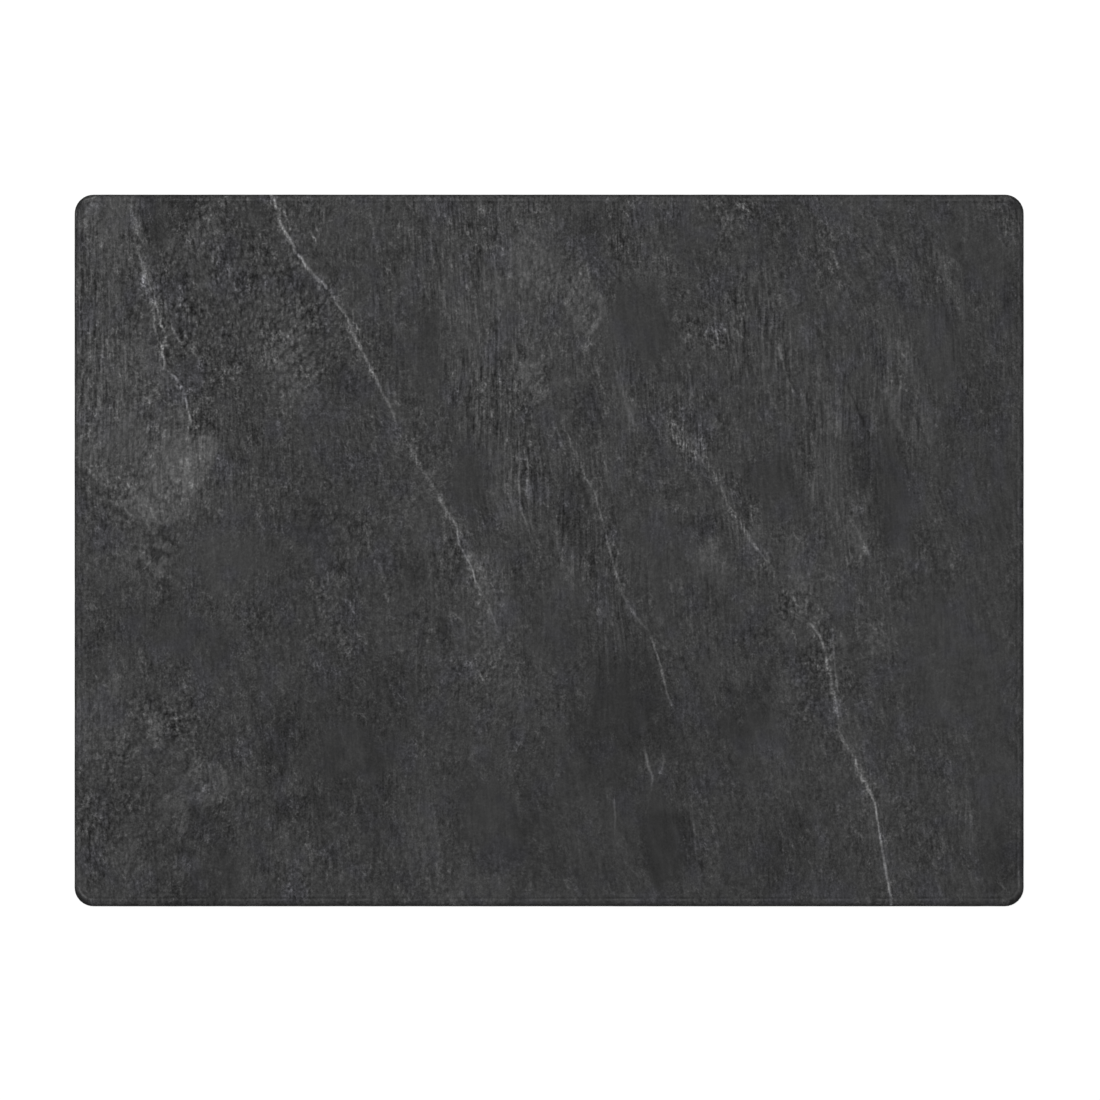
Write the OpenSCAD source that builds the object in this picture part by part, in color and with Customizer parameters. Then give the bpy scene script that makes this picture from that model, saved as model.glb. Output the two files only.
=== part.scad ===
// Slate serving board: a slab of stone with rolled edges, standing on four stick-on rubber feet.
// Millimetres, +Z up. The origin is the middle of the footprint, on the table that the feet stand on.

/* [Slab] */
// Length of the slab, along X
slab_length = 400; // [200:5:600]
// Width of the slab, along Y
slab_width = 300; // [150:5:450]
// Thickness of the slab
slab_thickness = 6; // [5.5:0.5:12]
// Radius of the four corners, seen from above
corner_radius = 8; // [5:0.5:20]
// Radius of the rolled upper edge
upper_roll = 3; // [1:0.25:3.5]
// Radius of the eased lower edge
lower_roll = 1; // [0.5:0.25:1.5]

/* [Feet] */
// Diameter of a foot where it is stuck on
foot_diameter = 12.7; // [8:0.1:20]
// Height of a foot, without its adhesive
foot_height = 4.7; // [3:0.1:8]
// Height of the straight skirt around the top of a foot
foot_skirt = 0.8; // [0.4:0.1:1.2]
// Lean of a foot's tapered side from the upright, in degrees
foot_draft = 15; // [5:1:20]
// Radius of the rounded rim around a foot's base
foot_rim = 0.8; // [0.4:0.1:1.2]
// Distance from the slab's short edges to the middle of a foot
foot_inset_x = 30; // [20:1:60]
// Distance from the slab's long edges to the middle of a foot
foot_inset_y = 30; // [20:1:60]

/* [Adhesive] */
// Thickness of the adhesive disc between a foot and the slab
adhesive_thickness = 0.3; // [0.1:0.05:1]
// How far the adhesive disc stays inside the foot's skirt
adhesive_inset = 0.35; // [0.1:0.05:1]

/* [Hidden] */
$fn = 96;

// Which way each corner of the board lies from its middle, along X and Y
front_left = [-1, -1];
front_right = [1, -1];
back_left = [-1, 1];
back_right = [1, 1];

// Heights of the faces that the pieces meet at
adhesive_bottom = foot_height;
slab_bottom = adhesive_bottom + adhesive_thickness;

// Middle of a corner's arc, and middle of a foot, from the middle of the board
arc_x = slab_length / 2 - corner_radius;
arc_y = slab_width / 2 - corner_radius;
foot_x = slab_length / 2 - foot_inset_x;
foot_y = slab_width / 2 - foot_inset_y;

// Foot's section: its tapered side runs from the skirt down to a tangent on the rim's circle
foot_radius = foot_diameter / 2;
skirt_bottom = foot_height - foot_skirt;
side_offset = foot_radius * cos(foot_draft) - skirt_bottom * sin(foot_draft);
rim_x = (side_offset - foot_rim + foot_rim * sin(foot_draft)) / cos(foot_draft);
rim_end = [rim_x + foot_rim * cos(foot_draft), foot_rim - foot_rim * sin(foot_draft)];

// How far a cutting shape reaches past the face that it cuts
cut_past = 1;

// What a quarter circle of this radius leaves of its square, reaching past the square's outer sides
module spandrel(radius) {
    difference() {
        square(radius + cut_past);
        circle(radius);
    }
}

// Section of the slab's border: the arc's middle is at x = 0, and the edge is rolled above and below
module border_section() {
    difference() {
        square([corner_radius, slab_thickness]);
        translate([corner_radius - upper_roll, slab_thickness - upper_roll])
            spandrel(upper_roll);
        translate([corner_radius - lower_roll, lower_roll])
            mirror([0, 1])
                spandrel(lower_roll);
    }
}

// One side of the border, with the corner at its end: out is its distance from the middle
module border_side(out, half_run) {
    translate([out, half_run, 0]) {
        rotate([90, 0, 0])
            linear_extrude(2 * half_run)
                border_section();
        rotate_extrude(angle = 90)
            border_section();
    }
}

module slate_slab() {
    color([0.24, 0.24, 0.25])
        translate([0, 0, slab_bottom]) {
            translate([-arc_x, -arc_y, 0])
                cube([2 * arc_x, 2 * arc_y, slab_thickness]);
            for (turn = [0, 180])
                rotate(turn) {
                    border_side(arc_x, arc_y);
                    rotate(90)
                        border_side(arc_y, arc_x);
                }
        }
}

// Half of a foot's upright section, from its axis out
module foot_section() {
    polygon([
        [0, 0],
        [rim_x, 0],
        rim_end,
        [foot_radius, skirt_bottom],
        [foot_radius, foot_height],
        [0, foot_height]
    ]);
    translate([rim_x, foot_rim])
        circle(foot_rim);
}

module rubber_foot(corner) {
    color([0.06, 0.06, 0.065])
        translate([corner.x * foot_x, corner.y * foot_y, 0])
            rotate_extrude()
                foot_section();
}

module adhesive_disc(corner) {
    color([0.85, 0.84, 0.80])
        translate([corner.x * foot_x, corner.y * foot_y, adhesive_bottom])
            cylinder(r = foot_radius - adhesive_inset, h = adhesive_thickness);
}

slate_slab();
rubber_foot(front_left);  // rubber_foot_front_left
rubber_foot(front_right);  // rubber_foot_front_right
rubber_foot(back_left);  // rubber_foot_back_left
rubber_foot(back_right);  // rubber_foot_back_right
adhesive_disc(front_left);  // adhesive_disc_front_left
adhesive_disc(front_right);  // adhesive_disc_front_right
adhesive_disc(back_left);  // adhesive_disc_back_left
adhesive_disc(back_right);  // adhesive_disc_back_right
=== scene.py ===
"""Looks of the slate serving board: the riven slab, its rubber feet, their adhesive, and a white studio."""

import math

import bpy
import numpy as np
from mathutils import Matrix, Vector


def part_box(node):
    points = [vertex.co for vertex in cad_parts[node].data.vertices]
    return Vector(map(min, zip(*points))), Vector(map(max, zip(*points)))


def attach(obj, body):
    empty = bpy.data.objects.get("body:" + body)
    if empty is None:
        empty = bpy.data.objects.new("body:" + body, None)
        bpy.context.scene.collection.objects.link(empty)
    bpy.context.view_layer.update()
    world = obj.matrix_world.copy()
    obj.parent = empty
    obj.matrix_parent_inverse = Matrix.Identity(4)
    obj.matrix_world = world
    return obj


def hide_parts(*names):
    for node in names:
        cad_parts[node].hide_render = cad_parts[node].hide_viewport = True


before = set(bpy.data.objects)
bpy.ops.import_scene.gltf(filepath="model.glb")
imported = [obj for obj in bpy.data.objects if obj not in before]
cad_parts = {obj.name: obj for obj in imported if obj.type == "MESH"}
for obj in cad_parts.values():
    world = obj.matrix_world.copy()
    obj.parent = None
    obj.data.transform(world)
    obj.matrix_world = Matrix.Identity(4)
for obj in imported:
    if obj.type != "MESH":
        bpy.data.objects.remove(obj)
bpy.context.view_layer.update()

MM = 0.001

# Shades of grey run from 0 to this on the display
FULL_SHADE = 255.0

# Slab sizes in millimetres: the overall ones come from the frame, the rounded ones repeat the construction
SLAB_LOW = np.array(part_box("slate_slab")[0]) / MM
SLAB_HIGH = np.array(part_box("slate_slab")[1]) / MM
HALF_LENGTH = (SLAB_HIGH[0] - SLAB_LOW[0]) / 2
HALF_WIDTH = (SLAB_HIGH[1] - SLAB_LOW[1]) / 2
FACE_Z = SLAB_HIGH[2]
UNDER_Z = SLAB_LOW[2]
CORNER_RADIUS = 8.0
UPPER_ROLL = 3.0
LOWER_ROLL = 1.0

# Mesh steps: cells along, across and in a corner of the face, and rings down the border and underneath
CELLS_LONG = 280
CELLS_WIDE = 208
CELLS_CORNER = 4
ROLL_RINGS = 9
SIDE_RINGS = 4
EASE_RINGS = 3
UNDER_RINGS = 14

# Veins of pale mineral: points (x, y, glow, half breadth) in millimetres, glow in shades of grey
LONG_VEIN = [
    (-117.4, 151, 66, 0.9), (-115.2, 146.6, 66, 0.9), (-113.7, 142.8, 66, 0.9), (-113.5, 139.4, 58, 0.9),
    (-112, 135.8, 58, 0.8), (-110.8, 133.4, 60, 0.8), (-108.9, 130.6, 60, 0.8), (-107.5, 127.7, 46, 0.8),
    (-106.4, 124.8, 38, 0.9), (-104, 122.6, 66, 0.8), (-102, 119, 72, 0.8), (-100.4, 117.6, 26, 0.8),
    (-96.3, 113, 56, 0.9), (-94.2, 111.1, 50, 0.9), (-91.8, 109, 10, 0.8), (-89.6, 104.6, 12, 0.8),
    (-88.8, 103, 40, 0.7), (-86.6, 100.2, 46, 0.7), (-84.7, 97.9, 46, 0.8), (-83.8, 93.6, 46, 1.0),
    (-82.2, 90, 50, 1.0), (-81.2, 87.9, 58, 1.0), (-78.8, 84.2, 38, 0.9), (-74.8, 76.2, 50, 0.9),
    (-70, 66, 36, 0.8), (-66, 59, 28, 0.8), (-64.5, 53, 30, 1.2), (-62.7, 48.9, 32, 1.4),
    (-58.3, 43.8, 26, 1.3), (-55.2, 36.8, 36, 1.5), (-51, 30, 24, 1.1), (-46.8, 23.6, 18, 0.9),
    (-42.6, 15.5, 42, 0.9), (-39, 10.5, 38, 0.7), (-38, 3, 38, 0.6), (-35.3, -2.2, 32, 0.5),
    (-32.7, -6.8, 34, 0.5), (-31, -13, 36, 0.5), (-30.2, -15, 12, 0.5), (-28.5, -17, 14, 0.5),
    (-26, -22, 18, 0.5), (-23.8, -27.6, 30, 0.6), (-22.5, -31, 12, 0.7), (-20.5, -38, 8, 0.9),
]
LEFT_VEIN = [
    (-173.4, 129, 5, 0.8), (-173.2, 126.6, 36, 0.8), (-172.7, 123.8, 40, 0.9), (-171.3, 121, 36, 0.9),
    (-170, 118.6, 38, 1.1), (-170.2, 116.3, 54, 1.2), (-170.6, 113.6, 60, 1.3), (-170.7, 111.8, 60, 1.3),
    (-169.5, 109.5, 58, 1.2), (-168.3, 106.9, 48, 1.1), (-167.2, 104.6, 36, 0.9),
    (-166.4, 101.5, 22, 0.8), (-166.2, 98, 30, 0.8), (-166, 93.8, 34, 0.8), (-165.2, 91, 32, 0.8),
    (-165, 89.4, 6, 0.7),
]
LEFT_BRANCH = [
    (-161.5, 89.6, 16, 0.8), (-162.2, 86.3, 40, 0.9), (-163.4, 83.3, 42, 1.0), (-162.4, 81.6, 18, 0.8),
    (-161.7, 80.4, 36, 0.7), (-161.9, 76.6, 34, 0.7), (-159.9, 74.7, 16, 0.7), (-157.6, 73.3, 44, 0.7),
    (-155.7, 70.9, 40, 0.7), (-153.8, 67.6, 42, 0.7), (-153.2, 65.4, 10, 0.7), (-152.9, 63.9, 42, 0.6),
    (-152.2, 60.1, 52, 0.6), (-151.5, 57.3, 56, 0.6), (-150.6, 54.6, 54, 0.7), (-151.4, 52.8, 44, 0.7),
    (-152, 51, 4, 0.6),
]
MIDDLE_VEIN = [
    (7.5, 49, 8, 0.9), (8.3, 47, 52, 1.0), (9, 45, 28, 0.9), (11, 42, 26, 0.8), (13, 36.5, 28, 0.8),
    (15.3, 30.2, 22, 0.7), (18.8, 25.8, 18, 0.6), (20, 21, 20, 0.6), (21.8, 15, 30, 0.6),
    (23.7, 8, 34, 0.6), (25, 2, 34, 0.7), (27, -6, 38, 0.7), (29, -12, 36, 0.7), (31, -18.5, 28, 0.8),
    (34, -24, 24, 0.9), (38, -29.5, 11, 0.7), (42.5, -34.5, 13, 0.6), (44, -40, 36, 0.6),
    (46.5, -47, 40, 0.7), (48.4, -55, 28, 0.7), (49.8, -61, 24, 0.7), (53, -68, 7, 0.7),
    (56, -76, 4, 0.8),
]
RIGHT_VEIN = [
    (50.4, 52, 10, 1.8), (53.4, 47.2, 40, 1.7), (56.2, 44.8, 48, 1.6), (60, 42, 28, 2.0),
    (64, 38, 26, 2.2), (68, 34, 32, 1.8), (70.5, 29.5, 36, 1.2), (74, 22, 28, 1.2), (78, 15, 38, 1.6),
    (82, 9.5, 28, 1.4), (85, 4, 24, 1.2), (87, 1.5, 38, 0.8), (90, -2.5, 20, 0.7), (93, -6, 7, 0.7),
    (97, -15, 9, 2.0), (102, -18.5, 12, 0.8), (102.9, -20, 60, 0.8), (103.6, -22, 12, 0.8),
    (105, -27, 40, 1.8), (107.6, -30, 4, 1.0), (110, -30.7, 38, 0.7), (113.2, -34.8, 44, 0.7),
    (115.8, -40.5, 36, 0.8), (117.2, -47, 38, 1.0), (118.8, -55.6, 46, 1.0), (120.8, -65.8, 40, 1.1),
    (121.7, -76, 32, 1.1), (124, -80.2, 28, 1.0), (126.8, -83.5, 28, 1.2), (129, -89.4, 32, 1.4),
    (132, -96, 42, 1.4), (134.7, -100.2, 52, 1.0), (137.3, -107, 58, 0.6), (138.6, -116.4, 44, 0.6),
    (140.3, -126.5, 46, 0.7), (142.4, -138.3, 46, 0.8), (143.7, -146.7, 46, 0.9), (144.5, -151, 44, 1.0),
]
VEINS = [LONG_VEIN, LEFT_VEIN, LEFT_BRANCH, MIDDLE_VEIN, RIGHT_VEIN]
VEIN_REACH = 9.0

# Hairlines, pale where the glow is above 0 and dark where it is below, written as the veins are
# They are in two sets, because at each place only the nearest line of a set shows
FIRST_HAIRS = [
    [(-179.4, 15.2, -12, 0.8), (-176.4, 12.4, -18, 0.8), (-173, 10.4, -14, 0.8)],
    [(-164.6, 5.6, -16, 0.9), (-163.6, 8, -20, 0.9), (-161.6, 9.8, -10, 0.8)],
    [(-169.6, -6.6, 20, 0.9), (-167.4, -4.6, 22, 0.9)],
    [(-117.2, 149.6, 22, 0.9), (-114.8, 143.6, 28, 0.9), (-114.3, 139.4, 26, 0.8), (-112.9, 136, 8, 0.7)],
    [(-109.4, 136.2, 26, 0.6), (-109, 134.8, 40, 0.7), (-109.8, 134, 10, 0.6)],
    [(-100.2, 133.6, 26, 0.8), (-99.4, 132.2, 40, 0.8)],
    [(-81, 94.2, 40, 0.7), (-80.6, 93.2, 44, 0.7)],
    [(-166.2, 107.2, 10, 0.6), (-166, 106, 56, 0.6), (-165.6, 103.6, 44, 0.7), (-164.6, 100.8, 42, 0.8),
     (-163.6, 98.5, 30, 0.9), (-164, 95.7, 46, 0.9), (-162.5, 93.4, 46, 0.8), (-161.5, 91.4, 20, 0.7),
     (-161.4, 89.4, 8, 0.7)],
    [(-77, 146, 8, 1.2), (-75.5, 139, 14, 1.4), (-73.5, 132, 14, 1.4), (-71, 125, 4, 1.2)],
    [(-50, 130, 5, 1.5), (-46, 112, 8, 1.2), (-44, 106, 22, 0.9), (-42.8, 101, 20, 0.9),
     (-41.5, 94, 4, 0.9)],
    [(29, 74, 6, 1.0), (31.5, 66, 18, 0.9), (33.5, 60, 18, 0.9), (35.5, 53, 6, 0.9)],
    [(96.5, 86, 20, 1.0), (98.5, 79, 20, 0.9), (100.5, 71, 18, 0.8), (104, 65, 8, 0.8)],
    [(-199, 39, 10, 1.4), (-194, 34, 22, 1.0), (-189, 29, 16, 0.9), (-185, 27, 4, 0.8)],
    [(-12, 38, 14, 0.7), (-13, 31, 22, 0.7), (-12.7, 25, 14, 0.7), (-12.4, 19, 26, 0.8),
     (-10, 13, 20, 0.8), (-7, 3, 12, 0.8)],
    [(39.6, -80, 8, 0.7), (40.6, -86, 30, 0.8), (42, -91.5, 32, 0.8), (43.7, -95.6, 26, 0.7),
     (43, -100, 12, 0.7), (42.2, -104, 5, 0.7)],
    [(22, 122, -8, 0.7), (27, 116, -16, 0.6), (34, 110, -8, 0.5)],
    [(115.5, 108, -6, 0.8), (117.5, 94.6, -12, 0.7), (120, 82.8, -4, 0.7), (125, 71, -8, 0.7),
     (130, 59, -16, 0.7), (134.4, 49, -10, 0.7)],
    [(27.5, -106, 22, 0.6), (27.8, -112, 18, 0.6), (27.4, -118, 6, 0.6)],
    [(119.3, -35, 14, 0.8), (119.8, -42, 26, 0.6), (120.2, -50, 20, 0.6), (121.8, -60, 24, 0.6),
     (122.8, -70, 12, 0.6)],
    [(108, 56, -10, 0.9), (109, 47, -18, 0.8), (110, 40, -10, 0.7)],
    [(140, 78, 4, 0.8), (142, 68, 8, 0.8), (145, 58, 12, 1.0), (149, 48, 8, 1.0)],
    [(60, -106, 10, 0.6), (61, -115, 12, 0.6), (61.7, -126, 6, 0.6)],
    [(175.5, -95, 16, 0.9), (176, -104, 10, 1.1), (177.5, -114, 14, 0.9), (179, -122, 5, 0.9)],
    [(127, 13, 8, 0.9), (130, 8, 14, 0.9), (132.5, 3, 16, 0.8), (134, -0.5, 44, 1.1), (135, -3, 6, 0.9)],
    [(-178, 150, 9, 1.6), (-175.6, 143, 11, 1.5), (-173.2, 136, 14, 1.4), (-171.5, 131, 4, 1.2)],
    [(4, 116, 18, 0.9), (3, 110, 12, 0.8), (2.5, 105, 4, 0.8)],
    [(17, 90, 12, 0.8), (20, 95, 16, 0.9), (21.5, 99, 8, 0.9)],
    [(-30, -50, 18, 0.7), (-28, -54, 20, 0.7), (-26, -58, 6, 0.7)],
    [(-32, 60, -10, 0.8), (-30, 68, -8, 0.7), (-28.5, 76, -10, 0.7)],
    [(19, -1, 8, 0.7), (20.5, -9, 12, 0.6), (21, -20, 8, 0.6)],
    [(-168, -71, 26, 1.3), (-166, -76, 20, 1.5), (-164, -82, 18, 1.6)],
    [(66.2, 92.5, 40, 0.8), (65.6, 90.5, 34, 0.8), (66.2, 88, 6, 0.7)],
    [(72.6, 93.6, 20, 0.8), (74.4, 92.6, 32, 0.8), (75.2, 90.5, 6, 0.7)],
    [(-195.7, 147.2, 30, 0.6), (-191.2, 148.8, 24, 0.5)],
    [(191.7, 148.6, 14, 0.5), (194.6, 147.8, 16, 0.5), (196.6, 146.2, 12, 0.5)],
    [(193.2, 137.4, 12, 0.6), (193.8, 135.4, 10, 0.6)],
    [(189.4, 131.4, 9, 0.7), (190.8, 129.4, 8, 0.7)],
    [(197.6, -135, 16, 0.6), (197.8, -141.5, 22, 0.6)],
    [(-197.7, -142.6, 20, 0.6), (-196.9, -144.4, 26, 0.6), (-195.6, -145.9, 18, 0.6)],
]
SECOND_HAIRS = [
    [(-177.6, 16.8, 26, 1.1), (-176, 15.2, 30, 1.1), (-174.6, 13.6, 12, 1.0)],
    [(-185.4, 27.8, 24, 1.0), (-184.6, 26, 20, 1.0)],
    [(-176.6, 11.4, 26, 1.0), (-176, 9.6, 20, 1.0)],
    [(-171, 18.8, 16, 1.2), (-168.6, 17.6, 18, 1.2)],
    [(-161.2, 5.2, -10, 0.8), (-158.6, 3.2, -16, 0.8)],
    [(-172.4, -6.8, -18, 0.8), (-171, -5.6, -14, 0.8)],
    [(103.5, -36.4, 40, 0.6), (103.7, -37.2, 40, 0.6)],
    [(70, -28.5, 16, 0.8), (70.3, -31, 14, 0.8)],
    [(51.4, -14.9, 14, 0.9), (51.8, -16.3, 14, 0.9)],
    [(127, -1.6, 24, 0.7), (127.3, -3.6, 26, 0.7), (126, -6, 20, 0.8)],
    [(-111, 138.8, -20, 0.9), (-110.1, 136.8, -28, 0.9)],
    [(-110.6, 140.6, 24, 0.6), (-110, 139.2, 26, 0.6)],
    [(-98, 135.8, 20, 0.6), (-97.6, 134.6, 22, 0.6)],
    [(-157.8, 92.6, 40, 0.8), (-157, 91, 20, 0.7), (-156.2, 88.4, 38, 0.8), (-156, 87, 10, 0.7)],
    [(-168.9, 114, 20, 0.6), (-168, 111, 26, 0.6), (-167.2, 108.6, 14, 0.5)],
    [(-9, 38, 10, 0.7), (-9, 31, 14, 0.7), (-9.6, 24, 10, 0.7), (-8, 14, 6, 0.8)],
    [(47.6, -85.5, 16, 0.7), (48.4, -88.6, 30, 0.9), (47.6, -91.5, 28, 0.9), (46.6, -94, 12, 0.8)],
    [(26, 143, -10, 0.6), (27.5, 136, -18, 0.6), (28.7, 130, -8, 0.6)],
    [(152, 60, -8, 0.7), (156, 53, -14, 0.7), (159.5, 43, -14, 0.7)],
    [(30, 122, -6, 0.6), (35, 113, -10, 0.6), (40, 107, -4, 0.6)],
    [(111.5, 44, 10, 0.7), (112, 34, 14, 0.7), (111, 25, 14, 0.7), (112, 16, 4, 0.7)],
    [(23.6, -36, 16, 0.7), (24, -42, 16, 0.7), (24.3, -48, 4, 0.7)],
    [(-171.6, 141, -12, 1.2), (-169.6, 134, -18, 1.0), (-168.4, 130, -12, 0.8)],
    [(14, -2, 8, 0.7), (17, -12, 12, 0.8), (18.5, -16, 4, 0.7)],
    [(9, 40, -12, 1.3), (12, 32, -14, 1.2), (15.5, 24, -12, 1.1), (18, 14, -8, 1.0)],
    [(53, 53, 18, 0.7), (55, 50, 22, 0.7), (57, 47.5, 10, 0.7)],
    [(69.4, 92.4, 26, 0.8), (70.6, 90.8, 28, 0.8), (71, 88.6, 12, 0.7), (72.2, 86, 26, 0.8),
     (72.8, 84, 4, 0.7)],
    [(77.8, 93.4, 22, 0.9), (79.2, 91.6, 22, 0.9)],
    [(194, 143.8, 14, 0.6), (195, 141.8, 12, 0.6)],
    [(194.2, 133.2, 10, 0.6), (195.4, 131.2, 10, 0.6)],
    [(190.2, -140.6, 22, 0.7), (191.6, -142.2, 20, 0.7)],
    [(-147.6, 57, -10, 0.9), (-144, 54.4, -20, 1.0), (-140.6, 52, -16, 0.9), (-138, 50.4, -6, 0.9)],
    [(119, 126, 16, 0.9), (120, 123, 34, 1.0), (121.5, 119, 6, 0.8)],
    [(75, 141.5, 20, 1.2), (75.8, 139.5, 44, 1.2), (76.5, 137, 10, 1.0)],
    [(-148, -15, -8, 0.8), (-158, -18, -12, 0.8), (-166, -24, -6, 0.8)],
    [(-84.7, -20.5, 24, 1.1), (-83.5, -23, 30, 1.1), (-82.5, -25, 6, 0.9)],
]
HAIR_REACH = 4.0

# Sets of lines as (name, lines, reach), and the share of the reach from where the glow fades out
LINE_SETS = [
    ("vein", VEINS, VEIN_REACH),
    ("hair", FIRST_HAIRS, HAIR_REACH),
    ("wisp", SECOND_HAIRS, HAIR_REACH),
]
GLOW_FADE = 0.6

# Plates with a crisp and ragged outline, as (shade, corners in turn). They are in two sets, because at each
# place only the deepest plate of a set shows
FIRST_PLATES = [
    (10, [(-203, 38), (-197, 34.5), (-190, 29.5), (-184, 27), (-181, 22), (-178, 17), (-174, 14),
          (-169, 12), (-163, 11), (-156, 12.5), (-150.5, 15), (-147.6, 21), (-147.4, 26), (-141.5, 37),
          (-138.4, 46), (-141, 47.5), (-151, 50), (-152, 57), (-155, 68), (-161, 75), (-164, 84),
          (-172, 90), (-185, 88), (-203, 80)]),
    (-11, [(-174.2, 152), (-171.8, 142), (-169.2, 131), (-163, 130), (-154, 134), (-150, 140),
           (-147, 152)]),
    (12, [(22.5, 107), (23.8, 101), (23, 96), (19, 93), (15.5, 90), (12, 94), (9, 99), (6, 104),
          (8, 112), (13, 118), (16, 120), (18, 113)]),
    (9, [(162.6, 128.4), (165.6, 125), (168, 116.6), (171.5, 108), (175.7, 98), (174, 97), (169.8, 104),
         (166.4, 111.5), (163.9, 118), (161.4, 125)]),
    (6, [(141, 96), (147, 91), (153.5, 80), (155.5, 66), (152, 70), (147, 80), (142, 88)]),
    (10, [(-13, 79), (-9, 81), (-4, 78), (0, 72), (1, 66), (-3, 62), (-9, 60), (-13, 62), (-15, 70)]),
    (-7, [(-116, -104), (-106, -103), (-94, -103), (-92, -112), (-98, -115), (-108, -113), (-114, -116)]),
    (10, [(-152, -92), (-147, -87), (-139, -90), (-135, -93), (-134.5, -103), (-139, -107), (-147, -108),
          (-152, -107.5), (-152, -113), (-153, -119), (-159, -118), (-158, -110), (-164, -107),
          (-163, -104), (-156, -100)]),
    (10, [(-159, -131), (-153, -130), (-151, -135), (-155, -138), (-159, -136)]),
]
SECOND_PLATES = [
    (5, [(-152, 50), (-138.6, 47.6), (-138.2, 43), (-140.6, 37), (-147.6, 27), (-154, 23), (-170, 26),
         (-168, 46)]),
    (-8, [(-149, 59), (-146, 58.5), (-142, 54), (-140, 50.5), (-147, 50.5), (-149.4, 54)]),
    (6, [(142, 70), (145, 68), (147, 64), (152, 54), (159, 43), (157, 41), (148, 48), (143, 58),
         (141, 66)]),
]
PLATE_SETS = [("plate", FIRST_PLATES), ("shard", SECOND_PLATES)]
PLATE_REACH = 6.0

# Plates with a soft outline: (shade, softness of the edge, corners in turn)
CUT_PLATES = [
    (-6, 3.5, [(126, 58), (129, 62), (134, 55), (135, 48), (140, 49), (148, 46), (150, 40), (152, 30),
               (150, 20), (147, 8), (143, -4), (139, -2), (138, 10), (135, 22), (129, 32), (126, 40),
               (125, 50)]),
    (5, 2.0, [(110, 68), (115, 72), (122, 71), (125, 66), (124, 50), (124, 40), (128, 30), (133, 22),
              (135, 12), (134, 2), (131, -4), (126, 4), (118, 16), (112, 20), (110, 30), (112, 44),
              (111, 55)]),
    (-4, 3.0, [(22.5, 111), (30, 111), (40, 109), (45, 108), (48, 105), (52, 100), (53, 92), (51, 85),
               (46, 79), (38, 74), (33, 78), (30, 84), (27, 92), (24, 100)]),
    (-6, 5.0, [(22, -40), (30, -44), (40, -42), (46, -46), (49, -56), (52, -66), (55, -76), (52, -86),
               (47, -84), (42, -88), (38, -84), (30, -88), (18, -94), (12, -90), (10, -80), (14, -70),
               (20, -60), (21, -50)]),
    (-6, 3.0, [(40, -110), (46, -111), (54, -110), (58.5, -112), (60, -122), (59, -132), (56, -138),
               (46, -140), (39, -134), (38, -124)]),
    (-6, 4.0, [(79, -57), (85, -58), (92, -60), (93, -70), (92, -78), (86, -80), (76, -79), (70, -74),
               (71, -66), (75, -62)]),
    (-4, 6.0, [(-114, -68), (-106, -64), (-90, -60), (-75, -50), (-60, -46), (-55, -54), (-58, -70),
               (-62, -90), (-64, -118), (-80, -112), (-92, -104), (-95, -98), (-104, -92), (-118, -98),
               (-120, -86)]),
    (-7, 3.0, [(-151, -110), (-143, -109.5), (-136, -106), (-133, -110), (-132.5, -132), (-134, -152),
               (-165, -152), (-156, -140), (-146, -134), (-143, -126), (-148, -120)]),
    (-4, 4.0, [(-190, -14), (-176, -22), (-160, -16), (-150, -24), (-138, -30), (-130, -42), (-140, -50),
               (-158, -44), (-175, -38), (-196, -44)]),
    (-2, 5.0, [(-137, 44), (-136, 60), (-128, 74), (-122, 70), (-112, 60), (-96, 56), (-92, 40),
               (-88, 10), (-95, -10), (-110, -14), (-120, 4), (-140, 20)]),
]

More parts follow.
